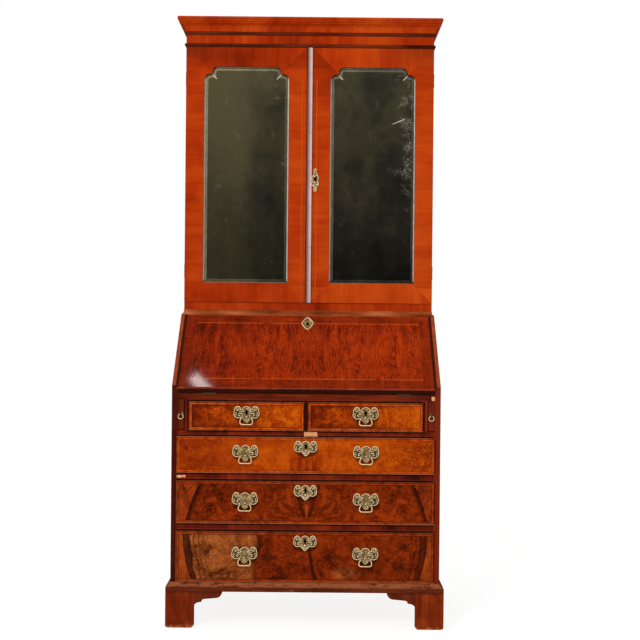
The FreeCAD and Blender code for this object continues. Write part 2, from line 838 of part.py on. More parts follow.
def drawer(x0, x1, floor, opening, handles, has_escutcheon):
    """One lipped drawer: front, box, brasses and bails. The opening runs from x0 to x1."""
    head = floor + opening
    face_y = front - lip_proud
    panel = board(x0 - lip_overlap, x1 + lip_overlap, face_y, front,
                  floor - lip_overlap, head + lip_overlap)
    rim = [edge for edge in panel.Edges if edge.BoundBox.YMax < front - lip_proud / 2]
    panel = panel.makeFillet(lip_radius, rim)
    core = board(x0 + front_fit_gap, x1 - front_fit_gap, front, front + front_thickness,
                 floor + front_fit_gap, head - front_fit_gap)
    front_board = panel.fuse(core).removeSplitter()
    box = box_sides(
        x0 + drawer_side_gap, x1 - drawer_side_gap, front + front_thickness,
        inner_back - drawer_back_gap, floor + drawer_floor_gap, head - drawer_head_gap,
        drawer_lining, drawer_bottom_thickness, drawer_bottom_lift)
    middle = (x0 + x1) / 2
    handle_z = (floor + head) / 2 + handle_rise
    plate_z = head - escutcheon_drop + lip_overlap if has_escutcheon else handle_z
    lock_z = plate_z + keyhole_rise
    hole = keyhole_cut(middle, lock_z, face_y)
    front_board = front_board.cut(hole)
    lock_y = front + front_thickness
    brasses = [board(middle - lock_width / 2, middle + lock_width / 2, lock_y, lock_y + lock_thickness,
                     lock_z - lock_height / 2, lock_z + lock_height / 2)]
    if has_escutcheon:
        brasses.append(backplate(middle, plate_z, face_y, escutcheon_width, escutcheon_height, hole))
    bails = []
    for x in handles:
        brasses.append(backplate(
            x, handle_z, face_y, plate_width, plate_height, None if has_escutcheon else hole))
        brasses += handle_posts(x, handle_z - post_drop, face_y)
        bails.append(bail(x, handle_z - post_drop, face_y))
    return [front_board], box, brasses, bails


def bookcase_sides(hinges):
    """Upright sides of the bookcase, let in for the door hinges."""
    side = board(-half_bookcase, -half_book_inside, case_front, back,
                 bureau_height, overall_height - cornice_sink)
    for hinge in hinges:
        side = side.cut(hinge[3])
    return [side, mirrored(side)]


def bookcase_ends():
    """Top and bottom boards of the bookcase."""
    return [
        board(-half_book_inside, half_book_inside, case_front, book_inner_back,
              door_floor - book_board_thickness, door_floor),
        board(-half_book_inside, half_book_inside, case_front, book_inner_back,
              cornice_floor - book_board_thickness, cornice_floor),
    ]


def shelf_levels():
    """Underside of each shelf, spaced evenly between the bottom and top boards."""
    clear = cornice_floor - book_board_thickness - door_floor - shelf_count * shelf_thickness
    pitch = clear / (shelf_count + 1) + shelf_thickness
    return [door_floor + pitch * (index + 1) - shelf_thickness for index in range(shelf_count)]


def bookcase_shelves():
    """Shelves housed between the sides."""
    return [
        board(-half_book_inside, half_book_inside, case_front + shelf_setback, book_inner_back,
              level, level + shelf_thickness)
        for level in shelf_levels()
    ]


def bookcase_front_rails():
    """Base rail under the doors and the frieze rail over them."""
    return [
        board(-half_bookcase, half_bookcase, door_front + base_rail_recess, case_front,
              bureau_height, door_floor),
        board(-half_bookcase, half_bookcase, door_front, case_front,
              frieze_floor, overall_height - cornice_sink),
    ]


def waist_moulding():
    """Cavetto moulding on the bureau top that the bookcase stands inside."""
    profile = (
        (0, 0),
        (waist_projection, 0),
        (waist_projection, waist_foot),
        (waist_lip, waist_height - waist_lip, -quarter_share),
        (waist_lip, waist_height),
        (0, waist_height),
    )
    return mitred_moulding(
        profile, half_bookcase, door_front + base_rail_recess, bureau_height, waist_projection)


def frieze_beads():
    """Round beads under and over the frieze."""
    bead = ((0, 0), (0, bead_height, bead_projection / bead_height))
    floors = (frieze_floor, cornice_floor - bead_height)
    solids = []
    for floor in floors:
        solids += mitred_moulding(bead, half_bookcase, door_front, floor, bead_projection)
    return solids


def cornice_moulding():
    """Cove, quirk, ovolo and fillet along the front and both sides."""
    ovolo_foot = cornice_height - cornice_fillet - cornice_ovolo
    shelf = cornice_projection - cornice_ovolo
    profile = (
        (0, 0),
        (cornice_foot, 0),
        (cornice_foot, cornice_quirk),
        (shelf, ovolo_foot - cornice_quirk, -quarter_share),
        (shelf, ovolo_foot),
        (cornice_projection, ovolo_foot + cornice_ovolo, quarter_share),
        (cornice_projection, cornice_height),
        (0, cornice_height),
    )
    return mitred_moulding(profile, half_bookcase, door_front, cornice_floor, cornice_projection)


def sight_profile(door_x0, door_x1, inset):
    """Mirror outline with two lobes and a notch at each top corner, drawn in by an inset."""
    middle = (door_x0 + door_x1) / 2
    half = (door_x1 - door_x0) / 2 - stile_width
    start = door_floor + door_gap
    low = start + bottom_rail_width
    top = start + door_height - top_rail_width
    upper_z = top - upper_lobe_radius
    ledge_z = upper_z - lobe_riser
    lower_z = ledge_z - lower_lobe_radius
    lower_x = half - lower_lobe_radius
    riser_x = lower_x - lobe_ledge
    upper_x = riser_x - upper_lobe_radius
    right = (
        (half - inset, low + inset),
        (half - inset, lower_z),
        (lower_x, ledge_z - inset, quarter_share),
        (riser_x - inset, ledge_z - inset),
        (riser_x - inset, upper_z),
        (upper_x, top - inset, quarter_share),
    )
    left = (
        (-upper_x, top - inset),
        (-riser_x + inset, upper_z, quarter_share),
        (-riser_x + inset, ledge_z - inset),
        (-lower_x, ledge_z - inset),
        (-half + inset, lower_z, quarter_share),
        (-half + inset, low + inset),
    )
    return [(middle + point[0],) + point[1:] for point in right + left]


def sight_face(door_x0, door_x1, inset, y):
    """The mirror outline as a face at a depth."""
    return outline(lambda x, z: Vector(x, y, z), sight_profile(door_x0, door_x1, inset))


def door(x0, x1, hinge_cutters, other_cutters):
    """Door frame with its backboard, and the bevelled mirror in its rebate."""
    start = door_floor + door_gap
    head = start + door_height
    corner_drop = upper_lobe_radius + lobe_riser + lower_lobe_radius
    rail_x0 = x0 + stile_width
    rail_x1 = x1 - stile_width
    rail_z = head - top_rail_width - corner_drop
    boards = [
        board(x0, rail_x0, door_front, door_back, start, head),
        board(rail_x1, x1, door_front, door_back, start, head),
        board(rail_x0, rail_x1, door_front, door_back, start, start + bottom_rail_width),
        board(rail_x0, rail_x1, door_front, door_back, rail_z, head),
    ]
    rebate_y = door_back - mirror_rebate_depth
    through = sight_face(x0, x1, 0, door_front).extrude(Vector(0, door_thickness, 0))
    rebate = sight_face(x0, x1, -mirror_rebate_width, rebate_y).extrude(Vector(0, mirror_rebate_depth, 0))
    frame = []
    for piece in boards:
        for cutter in [through, rebate] + hinge_cutters + other_cutters:
            piece = piece.cut(cutter)
        frame += piece.Solids
    edge = mirror_gap - mirror_rebate_width
    plate = sight_face(x0, x1, edge, rebate_y).extrude(Vector(0, mirror_thickness, 0))
    bevel_foot = sight_face(x0, x1, mirror_gap, rebate_y).OuterWire
    bevel_head = sight_face(x0, x1, mirror_bevel_width, rebate_y - mirror_bevel_rise).OuterWire
    bevel = Part.makeLoft([bevel_foot, bevel_head], True, True)
    mirror = plate.fuse(bevel).removeSplitter()
    backboard_y = rebate_y + mirror_thickness
    backboard = sight_face(x0, x1, edge, backboard_y).extrude(Vector(0, door_back - backboard_y, 0))
    return frame + [backboard], mirror.Solids


def meeting_strip():
    """Half-round strip on the right door's edge that fills the joint between the doors."""
    start = door_floor + door_gap
    profile = outline(lambda x, y: Vector(x, y, start), (
        (-half_strip, door_front),
        (half_strip, door_front, strip_proud / strip_width),
        (half_strip, door_back),
        (-half_strip, door_back),
    ))
    return [profile.extrude(Vector(0, 0, door_height))]


def door_lock():
    """Lock let into the right door's back, its pocket, the tall escutcheon and its keyhole."""
    lock_z = door_floor + door_gap + door_lock_rise
    lock = board(half_strip, half_strip + door_lock_width, door_back - lock_thickness, door_back,
                 lock_z - door_lock_height / 2, lock_z + door_lock_height / 2)
    x = half_strip + door_escutcheon_edge
    half_width = door_escutcheon_width / 2
    half_height = door_escutcheon_height / 2
    points_shares = (
        (0.0, -1.0, 0.0),
        (0.40, -0.80, 0.16),
        (0.45, -0.55, -0.16),
        (0.95, -0.25, 0.20),
        (0.62, 0.0, -0.12),
        (0.95, 0.25, 0.20),
        (0.45, 0.55, -0.02),
        (0.40, 0.80, -0.16),
        (0.0, 1.0, 0.16),
    )
    right = [(a * half_width, b * half_height, bulge) for a, b, bulge in points_shares]
    left = [(-here[0], here[1], ahead[2]) for here, ahead in zip(right[-2::-1], right[:0:-1])]
    plate = outline(lambda across, up: Vector(x + across, door_front, lock_z + up), right[1:] + left)
    plate = plate.extrude(Vector(0, -plate_thickness, 0))
    hole = outline(
        lambda across, up: Vector(x + across, door_front - 2 * plate_thickness, lock_z + up),
        keyhole_profile(),
    ).extrude(Vector(0, 2 * plate_thickness + door_thickness - lock_thickness, 0))
    return lock, plate.cut(hole), hole


def save(name, solids):
    """Writes one node and says what it holds."""
    shape = solids[0] if len(solids) == 1 else Part.makeCompound(solids)
    shape.exportStep(os.path.join("parts", name + ".step"))
    counts = [len(solid.Solids) for solid in solids]
    state = "valid" if shape.isValid() and set(counts) == {1} else "CHECK"
    print(name, sum(counts), round(sum(solid.Volume for solid in solids)), state)


os.makedirs("parts", exist_ok=True)

# Bureau carcass
fall_hinge_set = fall_hinges()
save("bureau_sides", bureau_sides())
save("bureau_top", bureau_top())
save("bureau_bottom", bureau_bottom())
save("bureau_backboards", planks(
    back_plank_count, half_inside, inner_back, back, foot_height + bottom_drop, bureau_top_floor))
save("writing_bed", writing_bed(fall_hinge_set))
save("drawer_rails", drawer_rails())
save("drawer_dividers", drawer_dividers())
save("base_moulding", base_moulding())
save("bracket_feet", bracket_feet())
save("pigeonholes", pigeonholes())
for number, pieces in enumerate(nest_drawers(), 1):
    save("small_drawer_%d" % number, pieces)

# Fall front
fall_lock_case, fall_plate, fall_keyhole = fall_lock()
save("fall_board", fall_board(fall_hinge_set, fall_lock_case, fall_keyhole))
save("fall_brasses", [hinge[2] for hinge in fall_hinge_set] + [fall_lock_case, fall_plate])

# Lopers and their ring pulls
left_loper = loper()
left_rosette, left_ring = ring_pull()
for hand, turned in (("left", lambda shape: shape), ("right", mirrored)):
    save("loper_%s" % hand, [turned(left_loper)])
    save("loper_rosette_%s" % hand, [turned(left_rosette)])
    save("loper_ring_%s" % hand, [turned(left_ring)])

# Drawers
half_muntin = muntin_width / 2
half_middle = (half_muntin + partition_inside) / 2
half_handle = long_handle_spacing / 2
drawer_rows = [
    ("half_drawer_left", -partition_inside, -half_muntin, half_drawer_floor, half_drawer_opening,
     {"": -half_middle}),
    ("half_drawer_right", half_muntin, partition_inside, half_drawer_floor, half_drawer_opening,
     {"": half_middle}),
]
for name, floor, opening in zip(("lower", "middle", "upper"), drawer_floors, long_drawer_openings):
    drawer_rows.append((
        "%s_drawer" % name, -half_inside, half_inside, floor, opening,
        {"_left": -half_handle, "_right": half_handle}))
for name, x0, x1, floor, opening, handles in drawer_rows:
    front_board, box, brasses, bails = drawer(x0, x1, floor, opening, handles.values(), len(handles) > 1)
    save(name + "_front", front_board)
    save(name + "_box", box)
    save(name + "_brasses", brasses)
    for hand, solid in zip(handles, bails):
        save(name + "_bail" + hand, [solid])

# Bookcase carcass
door_hinge_set = left_door_hinges()
save("bookcase_sides", bookcase_sides(door_hinge_set))
save("bookcase_ends", bookcase_ends())
save("bookcase_backboards", planks(
    book_plank_count, half_book_inside, book_inner_back, back, bureau_height, overall_height - cornice_sink))
save("bookcase_shelves", bookcase_shelves())
save("bookcase_front_rails", bookcase_front_rails())
save("waist_moulding", waist_moulding())
save("frieze_beads", frieze_beads())
save("cornice_moulding", cornice_moulding())
fixed_leaves = []
for hinge in fall_hinge_set:
    fixed_leaves += hinge[:2]
for hinge in door_hinge_set:
    fixed_leaves += hinge[:2] + [mirrored(piece) for piece in hinge[:2]]
save("case_hinge_leaves", fixed_leaves)

# Doors
left_cutters = [hinge[4] for hinge in door_hinge_set]
right_cutters = [mirrored(cutter) for cutter in left_cutters]
lock_case, door_plate, door_keyhole = door_lock()
left_frame, left_mirror = door(-half_bookcase, -half_strip - door_gap, left_cutters, [])
right_frame, right_mirror = door(half_strip, half_bookcase, right_cutters, [lock_case, door_keyhole])
save("door_left_frame", left_frame)
save("door_left_mirror", left_mirror)
save("door_left_hinge_leaves", [hinge[2] for hinge in door_hinge_set])
save("door_right_frame", right_frame)
save("door_right_mirror", right_mirror)
save("door_right_brasses", [mirrored(hinge[2]) for hinge in door_hinge_set] + [lock_case, door_plate])
save("door_meeting_strip", meeting_strip())
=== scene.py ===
"""Dresses a walnut bureau bookcase: veneers, old mirror plate, chased brass, repairs and a plain studio."""
import math

import bmesh
import bpy
from mathutils import Matrix, Vector


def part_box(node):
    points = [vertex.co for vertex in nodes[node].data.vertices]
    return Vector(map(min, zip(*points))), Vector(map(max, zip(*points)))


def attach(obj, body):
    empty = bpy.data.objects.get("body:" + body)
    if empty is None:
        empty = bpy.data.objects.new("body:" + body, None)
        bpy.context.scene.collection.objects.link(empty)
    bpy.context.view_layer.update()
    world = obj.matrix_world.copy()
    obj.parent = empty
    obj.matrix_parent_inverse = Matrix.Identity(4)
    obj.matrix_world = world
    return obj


bl_info = {
    "name": "Walnut bureau bookcase",
    "version": (1, 0, 0),
    "blender": (4, 5, 0),
    "location": "3D View > Sidebar > Bureau",
    "description": "Finishes, brasses and studio of a walnut bureau bookcase with mirrored doors",
    "category": "Object",
}

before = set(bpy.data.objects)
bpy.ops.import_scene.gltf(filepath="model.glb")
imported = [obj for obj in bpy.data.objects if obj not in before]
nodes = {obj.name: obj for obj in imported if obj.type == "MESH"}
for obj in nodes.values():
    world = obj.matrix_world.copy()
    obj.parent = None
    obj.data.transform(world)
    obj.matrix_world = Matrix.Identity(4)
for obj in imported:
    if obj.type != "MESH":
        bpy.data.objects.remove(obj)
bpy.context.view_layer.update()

DRAWERS = ("half_drawer_left", "half_drawer_right", "upper_drawer", "middle_drawer", "lower_drawer")
SMALL_DRAWERS = ("small_drawer_1", "small_drawer_2", "small_drawer_3")
HANDS = ("left", "right")
FORWARD = Vector((0.0, -1.0, 0.0))


def screen(red, green, blue):
    """A scene colour from a screen colour of 0 to 255."""
    shares = (value / 255 for value in (red, green, blue))
    return tuple(s / 12.92 if s <= 0.04045 else ((s + 0.055) / 1.055) ** 2.4 for s in shares)


def rgba(colour):
    """A colour with full cover."""
    return (*colour[:3], 1.0)


def dimmed(colour, share):
    """A colour with only a share of its light."""
    return tuple(share * value for value in colour)


# Painted shade: near-black for the gaps round the drawers and lopers and under each drawer
GAP_PAINTED_SHADE = screen(16, 5, 3)
# Painted shade of the keyholes' dark openings, on the brass and on the wood behind them
KEYHOLE_PAINTED_SHADE = screen(6, 5, 4)


class Tone:
    """A shader socket that takes part in sums."""

    def __init__(self, graph, socket):
        self.graph = graph
        self.socket = socket

    def __add__(self, other):
        return self.graph.math("ADD", self, other)

    __radd__ = __add__

    def __sub__(self, other):
        return self.graph.math("SUBTRACT", self, other)

    def __rsub__(self, other):
        return self.graph.math("SUBTRACT", other, self)

    def __mul__(self, other):
        return self.graph.math("MULTIPLY", self, other)

    __rmul__ = __mul__

    def __truediv__(self, other):
        return self.graph.math("DIVIDE", self, other)

    def __abs__(self):
        return self.graph.math("ABSOLUTE", self)


class Graph:
    """A shader tree while its nodes are joined up."""

    def __init__(self, tree):
        self.tree = tree
        self.tree.nodes.clear()

    def node(self, kind, settings=None, sockets=None, out=0):
        """One node: its settings first, then the values or links of its sockets."""
        made = self.tree.nodes.new(kind)
        for key, value in (settings or {}).items():
            if key == "stops":
                ramp = made.color_ramp
                while len(ramp.elements) < len(value):
                    ramp.elements.new(1.0)
                for element, (position, colour) in zip(ramp.elements, value):
                    element.position = position
                    element.color = rgba(colour)
            else:
                setattr(made, key, value)
        for key, value in (sockets or {}).items():
            if isinstance(value, Tone):
                self.tree.links.new(value.socket, made.inputs[key])
            else:
                made.inputs[key].default_value = value
        return Tone(self, made.outputs[out]) if len(made.outputs) else made

    def math(self, operation, *values):
        return self.node("ShaderNodeMath", {"operation": operation}, dict(enumerate(values)))

    def least(self, one, other):
        return self.math("MINIMUM", one, other)

    def most(self, one, other):
        return self.math("MAXIMUM", one, other)

    def span(self, across, along):
        """How far two distances at right angles reach together."""
        return self.math("SQRT", across * across + along * along)

    def split(self, vector):
        return [self.node("ShaderNodeSeparateXYZ", sockets={0: vector}, out=axis) for axis in range(3)]

    def vector(self, x, y, z):
        return self.node("ShaderNodeCombineXYZ", sockets={0: x, 1: y, 2: z})

    def noise(self, place, scale, detail=3.0, roughness=0.55, distortion=0.0):
        return self.node("ShaderNodeTexNoise", {"noise_dimensions": "3D"}, {
            "Vector": place, "Scale": scale, "Detail": detail, "Roughness": roughness,
            "Distortion": distortion})

    def spots(self, place, scale):
        """Distance from the nearest of many scattered points."""
        return self.node("ShaderNodeTexVoronoi", {"voronoi_dimensions": "3D", "feature": "F1"}, {
            "Vector": place, "Scale": scale})

    def fade(self, value, low, high):
        """Climbs smoothly from 0 at low to 1 at high, or falls where high is the smaller."""
        start, end = (0.0, 1.0) if low < high else (1.0, 0.0)
        return self.node("ShaderNodeMapRange", {"interpolation_type": "SMOOTHSTEP"}, {
            "Value": value, "From Min": min(low, high), "From Max": max(low, high),
            "To Min": start, "To Max": end})

    def line(self, value, centre, half, soft):
        """1 on a line of that half width, 0 beside it."""
        return self.fade(abs(value - centre), half + soft, half)

    def ramp(self, value, *stops):
        return self.node("ShaderNodeValToRGB", {"stops": stops}, {"Fac": value})

    def mix(self, under, over, share):
        """One colour laid over another."""
        sides = [side if isinstance(side, Tone) else rgba(side) for side in (under, over)]
        return self.node("ShaderNodeMix", {"data_type": "RGBA"}, {0: share, 6: sides[0], 7: sides[1]}, out=2)


class Finish(Graph):
    """A procedural material on a piece's own coordinates, built up from layers of colour."""

    def __init__(self, name):
        self.material = bpy.data.materials.new(name)
        self.material.use_nodes = True
        super().__init__(self.material.node_tree)
        self.place = self.node("ShaderNodeTexCoord", out="Object")
        self.x, self.y, self.z = self.split(self.place)
        self.colour = None

    def facing(self):
        """How far the surface looks along each axis."""
        return self.split(self.node("ShaderNodeTexCoord", out="Normal"))

    def lay(self, over, share):
        """Lays a colour over the layers so far."""
        self.colour = self.mix(self.colour, over, share)

    def surface(self, roughness, height=None, depth=0.0004, metallic=0.0, specular=0.03):
        """Closes the material with one shader."""
        sockets = {
            "Base Color": self.colour, "Roughness": roughness, "Metallic": metallic,
            "Specular IOR Level": specular,
        }
        if height is not None:
            sockets["Normal"] = self.node("ShaderNodeBump", sockets={
                "Strength": 0.5, "Distance": depth, "Height": height})
        return self.close(self.node("ShaderNodeBsdfPrincipled", sockets=sockets))

    def close(self, shader):
        self.node("ShaderNodeOutputMaterial", sockets={"Surface": shader})
        return self.material


class Box:
    """Middle and half sizes of a node's own box."""

    def __init__(self, node):
        self.low, self.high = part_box(node)
        self.middle = (self.low + self.high) / 2
        self.half = (self.high - self.low) / 2


def colour_setting(name, description, red, green, blue):
    """A colour that a user may change, given as a screen colour."""
    return bpy.props.FloatVectorProperty(
        name=name, description=description, subtype="COLOR", min=0.0, max=1.0,
        default=screen(red, green, blue))


def length_setting(name, description, default):
    """A length that a user may change, in metres."""
    return bpy.props.FloatProperty(
        name=name, description=description, default=default, unit="LENGTH", precision=4)


class BureauWoods(bpy.types.PropertyGroup):
    """Colours of the woods."""
    door_light: colour_setting("Door light", "Light streaks of the crossbanded doors", 194, 74, 15)
    door_mid: colour_setting("Door middle", "Main tone of doors and cornice", 157, 44, 4)
    door_dark: colour_setting("Door dark", "Dark streaks of the doors", 108, 24, 1)
    fall_light: colour_setting("Fall light", "Light figure of the fall", 178, 57, 5)
    fall_mid: colour_setting("Fall middle", "Main tone of the fall", 143, 37, 1)
    fall_dark: colour_setting("Fall dark", "Dark figure of the fall", 74, 14, 1)
    gold: colour_setting("Gold", "Golden figure of the upper drawers", 194, 86, 5)
    amber: colour_setting("Amber", "Main tone of the upper drawers", 158, 56, 1)
    russet: colour_setting("Russet", "Light figure of the lower drawers", 148, 50, 4)
    umber: colour_setting("Umber", "Main tone of the lower drawers", 109, 30, 1)
    black: colour_setting("Black", "Pips, rings and sapwood lines", 44, 12, 3)
    burr_gold: colour_setting("Burr gold", "Golden leaf of the lowest drawer", 168, 94, 44)
    carcass_dark: colour_setting("Carcass dark", "Dark streaks of the carcass", 52, 13, 5)
    # Also paints the pale lines of painted highlight along the drawers' lips and the fall's lower edge
    wear_and_painted_light: colour_setting("Worn wood", "Rubbed wood of the mouldings", 172, 100, 62)
    bare: colour_setting("Bare wood", "Fresh wood where veneer is lost", 226, 160, 108)
    stringing: colour_setting("Stringing", "Light inlaid line", 208, 88, 26)
    # Pale colour of the cover strip, partly faded wood and partly a painted reflection
    faded_and_painted_sheen: colour_setting("Faded wood", "Pale cover strip of the doors", 162, 130, 124)
    oak: colour_setting("Oak", "Bare oak of linings and back", 158, 112, 68)


class BureauMetals(bpy.types.PropertyGroup):
    """Colours of brass and mirror."""
    brass: colour_setting("Brass", "Rubbed brass", 255, 230, 180)
    tarnish: colour_setting("Tarnish", "Brass in the hollows", 168, 132, 74)
    # Silvering and decay also carry a painted reflection of the room on the mirror plates
    silvering: colour_setting("Silvering", "Clear old mirror plate", 255, 236, 172)
    decay: colour_setting("Decay", "Darkened silvering", 150, 146, 122)
    # Pale decay and scratches of the mirror plate, and its painted highlights on edges, bevels and mitres
    pale_decay_and_glint: colour_setting("Glint", "Cut edges and scratches of the mirror plate", 226, 214, 204)


class BureauReliefs(bpy.types.PropertyGroup):
    """Sizes of chased and fixed brass."""
    rim: length_setting("Rim", "Radius of the raised rims of the plates", 0.0016)
    scroll: length_setting("Scroll", "Radius of the scrolls on the plates", 0.0014)
    bead: length_setting("Bead", "Radius of the largest bead on each plate", 0.0032)
    pin: length_setting("Pin", "Radius of the plate pins", 0.0012)
    nail: length_setting("Nail", "Radius of the nail heads in the back", 0.0035)


class BureauStudio(bpy.types.PropertyGroup):
    """Camera and light."""
    lens: bpy.props.FloatProperty(
        name="Lens", description="Focal length on a 36 mm sensor", default=61.97, unit="CAMERA")
    stand: bpy.props.FloatVectorProperty(
        name="Camera place", description="Where the camera stands", subtype="TRANSLATION", unit="LENGTH",
        default=(0.0396, -3.9368, 1.0382))
    turn: bpy.props.FloatVectorProperty(
        name="Camera turn", description="Yaw to the right, pitch up and roll", subtype="EULER",
        unit="ROTATION", default=tuple(math.radians(angle) for angle in (0.057, -0.123, 0.53)))
    floor: bpy.props.FloatVectorProperty(
        name="Floor", description="Pale floor", subtype="COLOR", default=(0.2, 0.2, 0.2))
    floor_radius: length_setting("Floor radius", "Reach of the floor", 60.0)
    floor_glow: bpy.props.FloatProperty(name="Floor glow", description="Own light of the floor", default=0.86)
    sky: bpy.props.FloatProperty(name="Sky", description="Strength of the even light", default=0.72)


def woods():
    return bpy.context.scene.bureau_woods


def metals():
    return bpy.context.scene.bureau_metals


def reliefs():
    return bpy.context.scene.bureau_reliefs


def studio():
    return bpy.context.scene.bureau_studio


def dress(material, *names):
    """Gives CAD nodes their finish."""
    for name in names:
        slots = nodes[name].data.materials
        slots.clear()
        slots.append(material)


def streaks(f, along, across, depth, seed, stretch=9.0, fine=150.0):
    """Grain of a straight board: soft streaks and short pores, each from 0 to 1."""
    broad, narrow = fine / 4, fine * 3
    soft = f.noise(f.vector(along * (broad / stretch), across * broad, depth * broad + seed), 1.0,
                   detail=4.0, roughness=0.6, distortion=0.4)
    pores = f.noise(f.vector(along * (fine / stretch), across * narrow, depth * narrow + seed), 1.0,
                    detail=2.0, roughness=0.6)
    return soft, pores


def pieces(f, across, length, seed):
    """Veneer pieces of uneven width laid side by side: a chance for each and the joints between them."""
    kind = {"voronoi_dimensions": "1D"}
    step = {"W": across / length + seed * 7.3, "Scale": 1.0}
    cell = f.node("ShaderNodeTexVoronoi", {**kind, "feature": "F1"}, step, out="W")
    edge = f.node("ShaderNodeTexVoronoi", {**kind, "feature": "DISTANCE_TO_EDGE"}, step)
    chance = f.node("ShaderNodeTexWhiteNoise", {"noise_dimensions": "1D"}, {"W": cell})
    return chance, f.fade(edge, 0.028, 0.008)


def burr(f, u, v, seed, size):
    """Burr figure of one leaf: clouds, mottle, curling lines and dark pips, each from 0 to 1."""
    place = f.vector(u, v, seed)
    cloud = f.noise(place, 0.6 / size, detail=3.0, roughness=0.6, distortion=1.4)
    mottle = f.noise(place, 3.0 / size, detail=4.0, roughness=0.7, distortion=0.8)
    curl = f.noise(place, 1.1 / size, detail=1.5, roughness=0.5, distortion=2.4)
    lines = f.fade(f.math("PINGPONG", curl * 7.0, 0.5), 0.15, 0.03)
    pips = f.fade(f.noise(place, 5.0 / size, detail=2.0, roughness=0.6), 0.64, 0.72)
    return cloud, mottle, lines, pips


def hairs(f, u, v, seed, size):
    """Fine curling lines of a figured leaf, 1 on each line."""
    field = f.noise(f.vector(u, v, seed + 9.0), 0.9 / size, detail=2.5, roughness=0.55, distortion=1.8)
    return f.fade(f.math("PINGPONG", field * 9.0, 0.5), 0.17, 0.05)


# Where veneer is lost from the carcass front: middle across and up, then half width and half height
LOST = (
    (0.0155, 0.6475, 0.0228, 0.0075),
    (-0.4165, 0.5035, 0.0148, 0.0042),
    (0.4248, 0.7683, 0.0054, 0.0075),
)


def lost_veneer(f):
    """1 where veneer is lost, with ragged edges."""
    ragged = (f.noise(f.place, 130.0, detail=3.0) - 0.5) * 0.006
    lost = 0.0
    for middle_x, middle_z, half_x, half_z in LOST:
        inside = f.least(half_x - abs(f.x - middle_x), half_z - abs(f.z - middle_z)) + ragged
        lost = f.most(f.fade(inside, 0.0, 0.0008), lost)
    return lost


def bare_wood(f, soft, pores):
    """Fresh wood under lost veneer."""
    bare = woods().bare
    return f.ramp(soft * 0.6 + pores * 0.4, (0.3, dimmed(bare, 0.62)), (0.65, bare))


